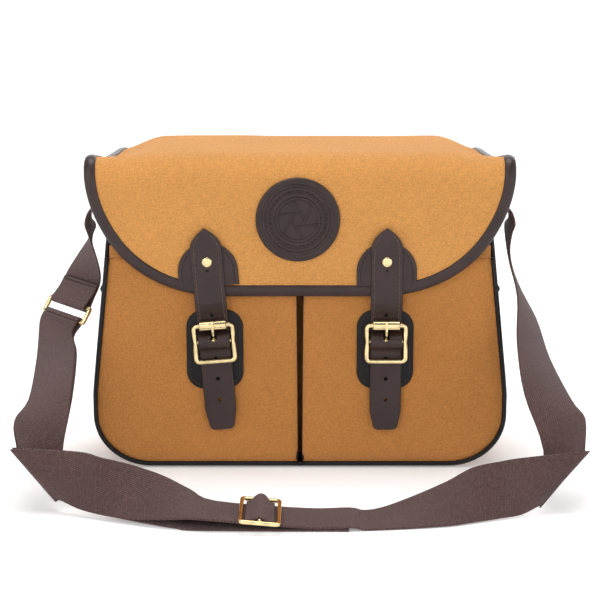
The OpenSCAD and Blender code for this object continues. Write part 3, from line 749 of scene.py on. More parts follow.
class BAG_OT_insert(bpy.types.Operator):
    """Padded insert with its two dividers and the base board"""
    bl_idname = "bag.insert"
    bl_label = "Padded insert"

    def execute(self, context):
        low, top, wall, gap = INSERT_LOW, INSERT_TOP, INSERT_WALL, 3.7
        levels = [low + (top - low) * k / 16 for k in range(17)]
        loops = [plan_loop(half_width(z, gap) - 3, 38.3, 5, z) for z in levels[:1]]
        loops += [plan_loop(half_width(z, gap) - 0.2, INSERT_HALF_Y, 7, z) for z in levels[1:-1]]
        for k in range(7):
            a = math.pi * k / 6
            inset = wall / 2 * (1 - math.cos(a))
            loops.append(plan_loop(half_width(top, gap) - inset, INSERT_HALF_Y - inset, 7,
                                   top - 4.5 + 4.3 * math.sin(a)))
        for z in reversed(levels[1:-1]):
            if z > 20:
                loops.append(plan_loop(half_width(z, gap) - wall, INSERT_HALF_Y - wall, 5, z,
                                       1.2 * math.sin(z * 0.11)))
        loops.append(plan_loop(half_width(18, gap) - wall - 3, INSERT_HALF_Y - wall - 3, 5, 15.4))
        insert = joined("insert_padding", [grid_data(loops, True, True)], "padding", "bag_body",
                        replaces=("padded_insert",))
        rim = plan_loop(half_width(top, gap) - wall / 2, INSERT_HALF_Y - wall / 2, 7, top - 0.4)
        joined("insert_rim", [tube_data(rim, 1.5, True, 8)], "padding", "bag_body")
        for side, node in ((-1, "divider_left"), (1, "divider_right")):
            outline = soft_box(62, 182, 5, 3)
            data = plate(outline, 4, -4, 3.2,
                         lambda p, s=side: v3(s * DIVIDER_X + p[1], p[0], DIVIDER_Z + p[2]))
            pad = stand_in(node, "pad", [data], "padding", "bag_body")
            edge = [(side * DIVIDER_X, x, DIVIDER_Z + z) for x, z in outline]
            joined(node + "_edge", [tube_data(edge, 1.2, True, 8)], "padding", "bag_body")
        joined("stiffener", [plate(soft_box(280, 82, 8, 4), 6, 3, 0.6, lambda p: v3(p[0], p[2], p[1]))],
               "board", "bag_body", replaces=("base_board",))
        return {"FINISHED"}


# ---------------------------------------------------------------- pockets

def gap_x(z):
    """Half the gap between the pockets, which opens a little towards their mouths."""
    return POCKET_GAP / 2 + 1.5 * (z / POCKET_H) ** 1.5


def pocket_face(side, node):
    """The front of a pocket: flat where the patch is sewn on, and rolling back to its seams."""
    rows = []
    for z in heights(POCKET_LOW + 1.6, POCKET_H, 30):
        inner, outer = gap_x(z) + 0.3, half_width(z, POCKET_IN + 1.6)
        row = []
        for j in range(57):
            t = j / 56
            t = t - math.sin(2 * math.pi * t) / (2 * math.pi) * 0.55
            x = inner + (outer - inner) * t
            edge = min((outer - x) / 12, (z - POCKET_LOW) / 14, 1.0)
            slit = min((x - inner) / 5, 1.0)
            back = 2.4 * (1 - smooth_step(edge)) + 2.2 * (1 - smooth_step(slit))
            sag = 0.5 * ripple(x * side * 1.3, z * 1.2, side) * smooth_step(edge)
            pucker = 0.35 * math.sin(z * 0.55) * math.exp(-(outer - x) / 7)
            row.append((side * x, Y_POCKET + back - sag + pucker, z))
        rows.append(row if side > 0 else row[::-1])
    points, faces, uv = grid_data(rows)
    uv = [(p[0] * MM, p[2] * MM) for p in points]
    cloth = piece(node + "_face", points, faces, "canvas", "bag_body", uv=uv, replaces=(node,),
                  material="tone_and_shade_canvas")
    return applied(cloth, ("SOLIDIFY", dict(thickness=0.0022, offset=-1.0)))


def pocket_path(inset, low):
    """Outer and lower seam of a pocket, from its mouth down and in to the gap, as (x, z)."""
    run = half_outline(POCKET_IN + inset, POCKET_H, low_x=gap_x(0) + 1)
    return [(x, max(z, low)) for x, z in run][::-1]


def pocket_wall(side, name, path, slot):
    """A wall that gives a pocket its depth, along a seam given as (x, z)."""
    rows = []
    for i, (x, z) in enumerate(path):
        a, b = neighbours(path, i)
        ahead = (b - a).normalized()
        inward = Vector((-ahead.y, ahead.x))
        row = []
        for j in range(9):
            y = POCKET_WALL_Y + POCKET_DEPTH * j / 8
            sink = 1.3 * math.sin(math.pi * j / 8)
            middle = 1 if x > 8 else 0.2
            row.append((side * (x - abs(inward.x) * sink * middle), y, z + max(0, inward.y) * sink))
        rows.append(row[::-1] if side > 0 else row)
    points, faces, uv = grid_data(rows)
    wall = piece(name, points, faces, slot, "bag_body", uv=uv)
    return applied(wall, ("SOLIDIFY", dict(thickness=0.0016, offset=-1.0)))


class BAG_OT_pockets(bpy.types.Operator):
    """The two front pockets with their piping, hems and leather patches"""
    bl_idname = "bag.pockets"
    bl_label = "Front pockets"

    def execute(self, context):
        # Black leather floor and walls in the gap between the pockets: partly dark trim, partly painted
        # shade standing in for the shadow in the gap.
        joined("pocket_gap_trim_and_shade_floor",
               [plate(soft_box(2 * gap_x(0) + 2, 4, 1.2, 3), -48, -79.4, 0.8,
                      lambda p: v3(p[0], p[1], POCKET_LOW + p[2]))], "black_leather", "bag_body")
        for side, word in ((-1, "left"), (1, "right")):
            pocket_face(side, "pocket_" + word)
            pocket_wall(side, f"pocket_{word}_wall", pocket_path(1.2, POCKET_LOW + 1.4), "side_canvas")
            pocket_wall(side, f"pocket_{word}_gap_trim_and_shade_wall",
                        [(gap_x(z) - 0.2, z) for z in range(5, POCKET_H + 1, 10)], "black_leather")
            path = [(side * x, POCKET_PIPING_Y, z) for x, z in pocket_path(-0.5, POCKET_LOW - 0.3)]
            stand_in("pocket_piping_" + word, "cord", [tube_data(path, 2.2)], "black_leather", "bag_body")
            x0, x1 = POCKET_GAP / 2 + 3, side_at(POCKET_H) - 6
            if side < 0:
                x0, x1 = -x1, -x0
            path = [(x0 + (x1 - x0) * k / 30, HEM_Y + 0.3 * math.sin(k * 0.9), POCKET_H + HEM_UP)
                    for k in range(31)]
            stand_in("pocket_hem_" + word, "fold", [bar_data(path, 3, 12, 1.4)], "lining", "bag_body",
                     material="tone_and_shade_canvas")
            stitch_row("pocket_hem_" + word + "_stitches",
                       [[(x, y - 1.5, z - 3) for x, y, z in path]], [(0, -1, 0)], "lining", "bag_body",
                       pitch=3.4, length=2.6, r=0.3, thread="tan_thread")

            def place(p, side=side):
                return v3(side * POCKET_PATCH_X + p[0], p[1], POCKET_PATCH_LOW + POCKET_PATCH_H / 2 + p[2])

            patch = plate(soft_box(POCKET_PATCH_W, POCKET_PATCH_H, 17, 8), -79.6, POCKET_PATCH_Y, 0.8, place)
            stand_in("pocket_patch_" + word, "leather", [patch], "black_leather", "bag_body")
            seam = [place((x, POCKET_PATCH_Y, z))
                    for x, z in soft_box(POCKET_PATCH_W - 7.4, POCKET_PATCH_H - 7.4, 13.3, 8)]
            stitch_row("pocket_patch_" + word + "_stitches", [seam + seam[:1]], [(0, -1, 0)],
                       "black_leather", "bag_body", pitch=3.6, length=2.7, thread="dark_thread")
        return {"FINISHED"}


# ---------------------------------------------------------------- strips of leather and webbing

ACROSS = (0, 0.008, 0.022, 0.05, 0.14, 0.3, 0.5, 0.7, 0.86, 0.95, 0.978, 0.992, 1)


def strip_data(stations, thick, soft=None):
    """A flat strip between pairs of edge points, with rounded long edges."""
    soft = thick if soft is None else soft
    stations = [[Vector(p) for p in s] for s in stations]
    middles = [(a + b) / 2 for a, b in stations]
    run = steps(middles)
    rows, uv = [], []
    for i, (a, b) in enumerate(stations):
        before, after = neighbours(middles, i)
        ahead = after - before
        wide = (b - a).length
        out = ahead.cross(b - a)
        out = out.normalized() if out.length > 1e-9 else Vector((0, -1, 0))
        row, row_uv = [], []
        for way in (1, -1):
            for t in (ACROSS if way > 0 else ACROSS[::-1][1:-1]):
                d = min(t, 1 - t) * wide
                k = min(1.0, d / (soft / 2))
                h = thick / 2 * math.sqrt(max(0.0, 1 - (1 - k) ** 2))
                row.append(a.lerp(b, t) + out * (way * h))
                row_uv.append(((t - 0.5) * wide * MM, run[i] * MM))
        rows.append(row)
        uv += row_uv
    points, faces, _ = grid_data(rows, closed=True, capped=True)
    return points, faces, uv


def cut(obj, *holes):
    """Takes closed shapes, each as points and faces in millimetres, out of a piece."""
    points, faces = [], []
    for hole_points, hole_faces in holes:
        base = len(points)
        points += hole_points
        faces += [[base + k for k in face] for face in hole_faces]
    mesh = bpy.data.meshes.new("cutter")
    mesh.from_pydata([Vector(p) * MM for p in points], [], faces)
    cutter = bpy.data.objects.new("cutter", mesh)
    bpy.context.collection.objects.link(cutter)
    for each in (obj, cutter):
        shape = bmesh.new()
        shape.from_mesh(each.data)
        bmesh.ops.recalc_face_normals(shape, faces=shape.faces)
        shape.to_mesh(each.data)
        shape.free()
    applied(obj, ("BOOLEAN", dict(object=cutter, operation="DIFFERENCE", solver="EXACT")))
    bpy.data.objects.remove(cutter)
    obj.data.set_sharp_from_angle(angle=math.radians(42))
    return obj


def pin(place, x, z, r, y0, y1, sides=20):
    """A round pin through y, for cutting a hole."""
    points, faces, _ = sweep_data([place((x, y0, z)), place((x, y1, z))], circle(r, sides))
    return points, faces


def turned(profile, place, sides=40, closed=False, groove=None):
    """A profile of (radius, height) pairs turned about an axis. place takes (radius along one
    side, along the other, height)."""
    rows = []
    for r, h in profile:
        row = []
        for k in range(sides):
            a = 2 * math.pi * k / sides
            dent = groove(k, r) if groove else 0.0
            row.append(place((r - dent) * math.cos(a), (r - dent) * math.sin(a), h))
        rows.append(row)
    if closed:
        rows.append(rows[0])
    return grid_data(rows, closed=True, capped=not closed)


# ---------------------------------------------------------------- flap

FRONT_RUN = ROLL_Z - FLAP_LOW
ROLL_RUN = ROLL_R * math.radians(90 - RISE)
BACK_ROLL_Y = ROLL_Y + TOP_LEN * math.cos(math.radians(RISE))
BACK_ROLL_Z = ROLL_Z + TOP_LEN * math.sin(math.radians(RISE))
FLAP_RUN = FRONT_RUN + ROLL_RUN + TOP_LEN + ROLL_R * math.radians(90 + RISE)


def run_yz(s, out):
    """The flap in side view: s runs from its lower edge up, over the top and down to the seam."""
    if s <= FRONT_RUN:
        return ROLL_Y - ROLL_R - out, FLAP_LOW + s
    r = ROLL_R + out
    if s <= FRONT_RUN + ROLL_RUN:
        a = math.pi - (s - FRONT_RUN) / ROLL_R
        return ROLL_Y + r * math.cos(a), ROLL_Z + r * math.sin(a)
    rise = math.radians(RISE)
    t = s - FRONT_RUN - ROLL_RUN
    if t <= TOP_LEN:
        a = math.pi / 2 + rise
        return (ROLL_Y + r * math.cos(a) + t * math.cos(rise),
                ROLL_Z + r * math.sin(a) + t * math.sin(rise))
    a = math.pi / 2 + rise - (t - TOP_LEN) / ROLL_R
    return BACK_ROLL_Y + r * math.cos(a), BACK_ROLL_Z + r * math.sin(a)


def flap_point(x, s, out):
    """A point on the flap. Its top corners hang a little, and hand-pressed cloth is uneven."""
    slump = smooth_step((abs(x) - 132) / 56)
    slump *= 0.22 * smooth_step((s - 62) / 50) + 0.78 * smooth_step((s - 125) / 75)
    slump *= smooth_step((262 - s) / 34)
    crest = smooth_step((s - 100) / 30) * smooth_step((250 - s) / 40)
    wrinkle = 0.45 * ripple(x, s) * smooth_step((s - 18) / 40)
    y, z = run_yz(s, out + wrinkle + crest * 0.5 * ripple(x * 1.7, s * 0.6, 4))
    return Vector((x, y, z - CORNER_DROP * slump))


def flap_edge(inset):
    """Half width of the flap and place up its run, from the lower edge to the back seam."""
    out = []
    reach = FLAP_HALF_W - SHIELD_X - inset
    drop = SHIELD_Z - FLAP_LOW - inset
    for k in range(31):
        a = math.pi / 2 * k / 30
        z = SHIELD_Z - drop * max(0.0, math.cos(a)) ** (2 / SHIELD_POW)
        if z > ROLL_Z + 20:
            break
        s = z - FLAP_LOW if z <= ROLL_Z else FRONT_RUN + ROLL_R * math.asin((z - ROLL_Z) / ROLL_R)
        out.append((SHIELD_X + reach * math.sin(a) ** (2 / SHIELD_POW), s))
    first, start = out[-1]
    for k in range(1, 41):
        s = start + (FLAP_RUN - start) * k / 40
        y, _ = run_yz(s, 0)
        taper = FLAP_HALF_W - (FLAP_HALF_W - FLAP_BACK_HALF_W) * max(0.0, y - ROLL_Y) / (60 - ROLL_Y)
        full = min(FLAP_HALF_W, taper) - inset
        out.append((first + (full - first) * smooth_step((s - start) / 26), s))
    return out


def flap_sheet(name, inset, out, thick, slot, node):
    rows, uv = [], []
    for half, s in flap_edge(inset):
        rows.append([flap_point(half * j / 44, s, out) for j in range(-44, 45)])
        uv += [(half * j / 44 * MM, s * MM) for j in range(-44, 45)]
    points, faces, _ = grid_data(rows)
    cloth = piece(name, points, faces, slot, uv=uv, replaces=(node,))
    applied(cloth, ("SOLIDIFY", dict(thickness=thick * MM, offset=-1.0)))
    area = sum((a[0] + b[0]) * (b[1] - a[1]) for a, b in zip(flap_edge(inset), flap_edge(inset)[1:]))
    area * 1e-6
    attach(cloth, "flap")
    return cloth


def whole_edge(inset):
    right = flap_edge(inset)
    flat = [(right[0][0] * k / 12, right[0][1]) for k in range(12)]
    half = flat + right
    return [(-x, s) for x, s in half[:0:-1]] + half


def edge_inside(depth):
    """The flap's outline moved in by depth, kept level with the outline point by point."""
    path = whole_edge(0)
    out = []
    for i, (x, s) in enumerate(path):
        a, b = neighbours(path, i)
        ahead = (b - a).normalized()
        out.append((x - ahead.y * depth, min(max(s + ahead.x * depth, 0), FLAP_RUN)))
    return out


class BAG_OT_flap(bpy.types.Operator):
    """The flap: canvas, lining, rolled leather binding and the patches under the straps"""
    bl_idname = "bag.flap"
    bl_label = "Flap"

    def execute(self, context):
        flap_sheet("flap_cloth", 4, 2.9, 1.2, "canvas", "flap_canvas")
        flap_sheet("flap_lining_cloth", 4, 1.0, 0.8, "lining", "flap_lining")
        # Binding: rolled on the face, round the edge and flat on the lining side
        section = [(BINDING_W, 2.7)]
        for k in range(9):
            t = k / 8
            section.append((BINDING_W - 0.25 - 9.4 * t, 3.1 + 2.1 * math.sin(math.pi * (0.12 + 0.80 * t))))
        section += [(0.55, 2.9), (0.05, 1.6), (0.5, 0.0), (1.8, -0.7), (6, -0.8), (BINDING_W - 0.6, -0.7),
                    (BINDING_W, -0.1)]
        rings = [[flap_point(x, s, out) for x, s in edge_inside(depth)] for depth, out in section]
        stand_in("flap_binding", "roll", [grid_data([list(row) for row in zip(*rings)], True, True)],
                 "leather", "flap")
        sewn = edge_inside(BINDING_W - 2.0)
        seam = [flap_point(x, s, 3.9) for x, s in sewn]
        ups = [flap_point(x, s, 6) - flap_point(x, s, 3) for x, s in sewn]
        stitch_row("flap_binding_stitches", [seam], [ups], "leather", "flap", pitch=4.4, length=3.2,
                   thread="dark_thread")
        base = FACE_Y + 0.5
        front = base - PATCH_T
        half_turn = range(0, 181, 6)
        for word in STRAPS:
            place = strap_place(word)
            outline = [(-PATCH_R, 12.2), (PATCH_R, 12.2)] + arc(PATCH_R, half_turn, z=PATCH_Z)
            stand_in("flap_patch_" + word, "leather", [plate(outline, base, front, 0.8, place)],
                     "leather", "flap")
            sewn = [(PATCH_SEAM_R, 14), *arc(PATCH_SEAM_R, half_turn, z=PATCH_Z), (-PATCH_SEAM_R, 14)]
            seam = [place((x, front, z)) for x, z in sewn]
            stitch_row(f"flap_patch_{word}_stitches", [seam], [(0, -1, 0)], "leather", "flap", pitch=3.6,
                       length=2.7, thread="dark_thread")
        # Strip that closes the seam at the hinge
        path = [Vector((x, 46.2 + 0.3 * math.sin(x * 0.2), BACK_ROLL_Z - 0.5)) for x in range(-172, 173, 8)]
        joined("back_seam_tape", [bar_data(path, 2.6, 9, 1.2)], "canvas", "bag_body",
               material="side_canvas")
        return {"FINISHED"}


class BAG_OT_badge(bpy.types.Operator):
    """Round leather badge stamped with an aperture and a ring of beads"""
    bl_idname = "bag.badge"
    bl_label = "Badge"

    def execute(self, context):
        def place(p):
            return v3(BADGE_X + p[0], FACE_Y - p[2], BADGE_Z + p[1])

        base = -0.6
        profile = [(BADGE_R - 0.9, base), (BADGE_R - 0.1, base + 0.8), (BADGE_R, 1.6), (BADGE_R - 0.5, 2.5),
                   (BADGE_R - 1.6, 3.0), (35.2, 3.0), (34.4, 2.5), (33.6, 2.5), (33.0, 3.3), (32.2, 3.6),
                   (31.2, 3.3), (30.4, 1.8), (21.9, 1.8), (21.2, 3.1), (20.2, 3.5), (19.2, 3.1),
                   (18.4, 1.8), (10, 1.8), (4, 1.8), (0.5, 1.8)]
        parts = [turned(profile, lambda x, y, h: place((x, y, h)), 96)]
        for k in range(BEADS):
            a = 2 * math.pi * k / BEADS
            at = (BEAD_RING_R * math.cos(a), BEAD_RING_R * math.sin(a))
            dome = [(1.75, 1.6), (1.6, 2.5), (1.0, 3.2), (0.1, 3.4)]
            parts.append(turned(dome, lambda x, y, h, at=at: place((at[0] + x, at[1] + y, h)), 12))
        for k in range(BLADES):
            tip, root = Vector(polar(7.4, 60 * k)), Vector(polar(18.4, 60 * k + 108))
            run = [tip.lerp(root, t / 8) for t in range(9)]
            bend = [p + Vector((p.y, -p.x)) * 0.10 * math.sin(math.pi * t / 8)
                    for t, p in enumerate(run)]
            parts.append(sweep_data([place((p.x, p.y, 2.1)) for p in bend], circle(1.05, 8)))
        disc = stand_in("badge", "disc", parts, "leather", "flap")
        disc.data.set_sharp_from_angle(angle=math.radians(50))
        seam = [place((x, z, 3.0)) for x, z in arc(BADGE_SEAM_R, range(0, 361, 4))]
        stitch_row("badge_stitches", [seam], [(0, -1, 0)], "leather", "flap", pitch=3.1, length=2.3,
                   r=0.38, thread="dark_thread")
        return {"FINISHED"}


# ---------------------------------------------------------------- closing straps

def strap_place(word):
    x0, lean = STRAPS[word]
    c, s = polar(1, lean)
    return lambda p: v3(x0 + p[0] * c - p[2] * s, p[1], BEND_Z + p[0] * s + p[2] * c)


TAIL = ((-89.7, -0.6), (-89.3, -4), (-87, -10), (-84.6, -16), (-83.8, -22), (-83.8, -28),
        (-84.9, -32), (-91.2, -35.4), (-94.2, -38), (-94.9, -40.5), (-94.2, -43), (-91, -45.8),
        (-87.4, -49.5), (-86.4, -56), (-85.4, -66), (-84.3, -76), (-84.3, -92), (-84.3, -110),
        *((-84.3, up - TAIL_LEN) for up in (7, 4.5, 3, 1.7, 0.8, 0.3, 0)))


def strap_run():
    """Side view of a closing strap from its point down, with half its width, as (y, z, w)."""
    out = []
    for k in range(15):
        t = 1 - (k / 14) ** 1.3
        out.append((BEND_Y, STRAP_UP - 20 + 20 * t, max(0.8, STRAP_W / 2 * (1 - t ** 2.1))))
    out += [(BEND_Y, z, STRAP_W / 2) for z in range(43, 3, -5)]
    pairs = eased([[(0, y, z)] for y, z in TAIL], 3)
    for (p,) in pairs:
        drop = max(0.0, -TAIL_LEN + 22 - p.z) / 22
        w = STRAP_W / 2 - 3.2 * smooth_step(drop)
        tip = max(0.0, (-TAIL_LEN + 4.5 - p.z) / 4.5)
        out.append((p.y, p.z, max(w - 4.2 * (1 - math.sqrt(max(0.0, 1 - tip * tip))), 5)))
    out.append((out[-1][0], -TAIL_LEN, 5))
    return out[:-2] + out[-1:] if out[-1][1] >= out[-2][1] else out


class BAG_OT_closing_straps(bpy.types.Operator):
    """The two leather closing straps, stitched, riveted and punched"""
    bl_idname = "bag.closing_straps"
    bl_label = "Closing straps"

    def execute(self, context):
        for word in STRAPS:
            place = strap_place(word)
            run = strap_run()
            stations = [[place((w, y, z)), place((-w, y, z))] for y, z, w in run]
            strap = joined(f"closing_strap_{word}_leather", [strip_data(stations, STRAP_T, 2.2)],
                           "leather", replaces=("closing_strap_" + word, "strap_tail_" + word))
            pins = [pin(place, 0, z, 1.9, -110, -70) for z in HOLES]
            pins.append(pin(place, 0, RIVET_Z - 8.2, 1.2, -110, -88.9, 12))
            slot_z = BUCKLE_Z + CENTRE_BAR_Z + 5.5
            box = [place((x, y, slot_z + z)) for y in (-110, -70)
                   for x, z in ((-3, -4.5), (3, -4.5), (3, 4.5), (-3, 4.5))]
            faces = [[0, 1, 2, 3], [7, 6, 5, 4], [1, 0, 4, 5], [2, 1, 5, 6], [3, 2, 6, 7], [0, 3, 7, 4]]
            cut(strap, *pins, (box, faces))
            bend = [place((0, BEND_Y, z)) * MM for z in (3, -7)]
            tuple(bend[0])
            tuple(bend[1])
            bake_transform(strap)
            seams, ups = [], []
            for side in (-1, 1):
                path, up = [], []
                for i, (y, z, w) in enumerate(run):
                    if z > STRAP_UP - 6 or z < -19:
                        continue
                    a, b = run[max(i - 1, 0)], run[i + 1]
                    fall = Vector((0, b[0] - a[0], b[1] - a[1])).normalized()
                    out = Vector((0, fall.z, -fall.y))
                    path.append(place((side * (w - 3.4), y + out.y * STRAP_T / 2, z + out.z * STRAP_T / 2)))
                    up.append(out)
                seams.append(path)
                ups.append(up)
            threads = stitch_row(f"closing_strap_{word}_stitches", seams, ups, "leather", lift=0.25)
            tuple(bend[0])
            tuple(bend[1])
            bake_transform(threads)
            face = BEND_Y - STRAP_T / 2

            def out_of_face(x, y, h, place=place, face=face):
                groove = 0.55 if abs(x) < 0.55 and abs(y) < 3.4 and h > 0.6 else 0.0
                return place((x, face - h + groove, RIVET_Z + y))

            dome = [(4.6, -0.3), (4.75, 0.3), (4.7, 0.8)]
            dome += [(polar(4.7, a)[0], 0.8 + polar(1.7, a)[1]) for a in range(6, 90, 6)]
            dome.append((0.1, 2.5))
            stand_in("strap_rivet_" + word, "dome", [turned(dome, out_of_face, 48)], "brass", "flap")
        return {"FINISHED"}


class BAG_OT_buckles(bpy.types.Operator):
    """Brass roller buckles with their prongs"""
    bl_idname = "bag.buckles"
    bl_label = "Buckles"

    def execute(self, context):
        for word in STRAPS:
            place = strap_place(word)
            outline = []
            for x, z in smoothed_loop(soft_box(BUCKLE_W - WIRE, BUCKLE_H - WIRE, 3.4, 5), 3.0):
                waist = 0.9 * math.exp(-((z - CENTRE_BAR_Z) / 4.5) ** 2)
                outline.append(place((x - math.copysign(waist, x) * (abs(x) > 12), BUCKLE_Y, BUCKLE_Z + z)))
            ring = bar_data(outline, WIRE, WIRE, 1.75, up=(0, -1, 0), closed=True)
            ends = (BUCKLE_W - WIRE) / 2 - 0.6
            bar = [place((x, BUCKLE_Y, BUCKLE_Z + CENTRE_BAR_Z)) for x in (-ends, -6, 6, ends)]
            cast = stand_in("buckle_frame_" + word, "cast", [ring, tube_data(bar, 1.7, sides=16)],
                            "brass", "strap_" + word)
            cast.data.set_sharp_from_angle(angle=math.radians(50))
            profile = [(2.5, -12.6), (4.3, -12.6), (4.75, -12.2), (4.85, -11.6), (4.85, 11.6),
                       (4.75, 12.2), (4.3, 12.6), (2.5, 12.6)]

            def across(a, b, h, place=place):
                return place((h, BUCKLE_Y - a, BUCKLE_Z + TOP_BAR_Z + b))

            tube_part = turned(profile, across, 64, closed=True,
                               groove=lambda k, r: 0.45 if k == 59 and r > 4 else 0.0)
            roller = stand_in("buckle_roller_" + word, "tube", [tube_part], "brass", "roller_" + word)
            roller.data.set_sharp_from_angle(angle=math.radians(35))
            prong = [(0, 2.9), (-2.6, 4.4), (-5, 7.4), (-6.3, 11), (-6.5, 16), (-6.3, 19), (-6.0, 20.3)]
            spine = [place((0, BUCKLE_Y + p[0].y, BUCKLE_Z + CENTRE_BAR_Z + p[0].z))
                     for p in eased([[(0, y, z)] for y, z in prong], 3)]
            tongue = bar_data(spine, 2.4, 1.9, 0.7, up=(0, -1, 0.2))
            eye = turned([(1.8, -2), (2.6, -2), (3.0, -1.5), (3.0, 1.5), (2.6, 2), (1.8, 2)],
                         lambda a, b, h, place=place: place((h, BUCKLE_Y - a, BUCKLE_Z + CENTRE_BAR_Z + b)),
                         24, closed=True)
            stand_in("buckle_prong_" + word, "tongue", [tongue, eye], "brass", "prong_" + word)
        return {"FINISHED"}


def smoothed_loop(points, step):
    """A closed outline with extra points on its long sides."""
    out = []
    for a, b in zip(points, points[1:] + points[:1]):
        n = max(1, int((Vector(b) - Vector(a)).length / step))
        out += [tuple(Vector(a).lerp(Vector(b), k / n)) for k in range(n)]
    return out


# ---------------------------------------------------------------- side fittings

class BAG_OT_side_fittings(bpy.types.Operator):
    """Leather patches, sewn webbing ends, tabs and D rings on the side walls"""
    bl_idname = "bag.side_fittings"
    bl_label = "Side fittings"

    def execute(self, context):
        for side, word in ((-1, "left"), (1, "right")):
            def wall(p, side=side):
                return wall_point(side, PIVOT_Z + p[2], p[1], p[0])

            stand_in("gusset_patch_" + word, "leather",
                     [plate(soft_box(SIDE_PATCH_W, SIDE_PATCH_W, 6, 5), -0.5, SIDE_PATCH_Y, 0.8, wall)],
                     "leather", "bag_body")
            sewn = SIDE_PATCH_W - 6
            seam = [wall((y, SIDE_PATCH_Y, z)) for y, z in soft_box(sewn, sewn, 4, 5)]
            stitch_row(f"gusset_patch_{word}_stitches", [seam + seam[:1]], [(side, 0, 0.1)], "leather",
                       "bag_body", thread="dark_thread")
            run = [(3.4, -22), (3.4, -10), (3.4, 4), (3.4, 16), (3.9, 20.6), (5.2, 23.0), (6.6, 23.6),
                   (8.0, 22.8), (9.2, 20.4), (9.5, 16), (9.5, 11), (9.5, 6)]
            stations = eased([[wall((-24.5, o, z)), wall((24.5, o, z))] for o, z in run], 3)
            stand_in("sewn_webbing_" + word, "end", [strip_data(stations, 2.1, 1.6)], "webbing",
                     "bag_body")
            bars = [[wall((y, 4.55, z)) for y in range(-20, 21, 4)] for z in (-19, -15)]
            stitch_row(f"sewn_webbing_{word}_stitches", bars, [(side, 0, 0.1)] * 2, "webbing",
                       "bag_body", pitch=3, length=2.4, thread="dark_thread")
            x0 = side_at(TAB_Z) + 0.4
            bar_x = x0 + 5.4
            fold = [(side_at(TAB_Z + 24) + 1.6, TAB_Z + 24), (side_at(TAB_Z + 12) + 4.2, TAB_Z + 12)]
            fold += arc(TAB_FOLD_R, range(40, -191, -23), bar_x, TAB_Z)
            fold += [(x0 + 1.3, TAB_Z + 8), (side_at(TAB_Z + 22) + 0.9, TAB_Z + 22)]
            stations = eased([[(side * x, TAB_Y - TAB_W / 2, z), (side * x, TAB_Y + TAB_W / 2, z)]
                              for x, z in fold], 3)
            stand_in("side_tab_" + word, "leather", [strip_data(stations, 1.9, 1.4)], "black_leather",
                     "bag_body")
            rise = wall_point(side, TAB_Z + 14, 1.5, 0)
            tilt = Vector((side, 0, 0.25)).normalized()
            level = Vector((-tilt.z * side, 0, abs(tilt.x)))
            centre = Vector((rise.x, TAB_Y, rise.z)) + tilt * 2.2
            joined(f"tab_rivet_{word}", [turned(
                [(3.2, 0), (3.2, 0.7), (2.8, 1.3), (1.8, 1.8), (0.1, 2.0)],
                lambda a, b, h: centre + Vector((0, a, 0)) + level * b + tilt * h, 24)],
                "brass", "bag_body", replaces=("tab_rivets",))
            loop = [(y, 0) for y in (-RING_HALF_W, -8, 0, 8)] + [(RING_HALF_W, 0), (RING_HALF_W, -5)]
            loop += arc(RING_HALF_W, range(0, -181, -12), z=-RING_DROP) + [(-RING_HALF_W, -5)]
            ring = [(side * bar_x, TAB_Y + y, TAB_Z + z) for y, z in loop]
            wire = tube_data(ring, RING_WIRE, True, 16, [(1, 0, 0)] * len(ring))
            stand_in("d_ring_" + word, "wire", [wire], "brass", "ring_" + word)
        for node in ("snap_socket_left", "snap_socket_right", "snap_stud_left", "snap_stud_right"):
            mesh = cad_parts[node]
            mesh.data.materials.clear()
            mesh.data.materials.append(finish("brass"))
        return {"FINISHED"}


# ---------------------------------------------------------------- shoulder strap

PIVOT_X, HALF_W, FOLD_R, SINGLE_FOLD_R = 201, WEB_W / 2, 3.4, 1.5
RING_C = Vector((-227.5, -37, 147))
RING_W = Vector((0.72, -0.66, -0.08)).normalized()
RING_UP = Vector((0.22, 0.52, 0.8))
RING_UP = (RING_UP - RING_W * RING_UP.dot(RING_W)).normalized()
RING_N = RING_W.cross(RING_UP)
RING_R, RING_HALF, RING_IN_W = 2.2, 7.7, 54
LOOP_R = RING_R + 0.25 + WEB_T / 2
CLIMB = math.tan(math.radians(SLOPE))
SLIDER_Z = 3.4 + (5 - SLIDER_X) * CLIMB
SLIDER_W, SLIDER_L, SLIDER_WIRE = 65, 37, 3.6


def top_end(side):
    """Rounded end of the webbing, turning about the sewn point and bellied out over its fold."""
    out = []
    for a, belly in ((84, 1.8), (75, 3.5), (63, 5.4), (50, 7), (25, 8.5), (0, 5)):
        c, s = polar(HALF_W, a)
        x = side * (PIVOT_X + belly)
        out.append([(x, -c, PIVOT_Z + s), (x, c, PIVOT_Z + s)])
    return out


def on_floor(x, y, z, lean):
    """Front edge and how far the width leans up from flat."""
    c, s = polar(WEB_W, lean)
    return [(x, y, z), (x, y + c, z + s)]


def fold_over(q, p, out, r, way):
    """A fold along the line from q to p, turning back on itself."""
    made = []
    for a in range(0, 181, 30):
        c, s = polar(1, a)
        shift = Vector(out) * (r * s) + Vector((0, way * r * (1 - c), 0))
        made.append([Vector(q) + shift, Vector(p) + shift])
    return made


def across_ring(centre):
    return [centre + RING_W * HALF_W, centre - RING_W * HALF_W]


def bar_loop(at, angles):
    """Round a long bar of the ring."""
    out = []
    for a in angles:
        c, s = polar(1, a)
        out.append(across_ring(RING_C + RING_UP * (at + LOOP_R * s) + RING_N * (LOOP_R * c)))
    return out


def shifted(stations, amounts):
    mids = [(Vector(a) + Vector(b)) / 2 for a, b in stations]
    out = []
    for i, ((a, b), d) in enumerate(zip(stations, amounts)):
        before, after = neighbours(mids, i)
        n = (after - before).cross(Vector(b) - Vector(a)).normalized()
        out.append([Vector(a) + n * d, Vector(b) + n * d])
    return out


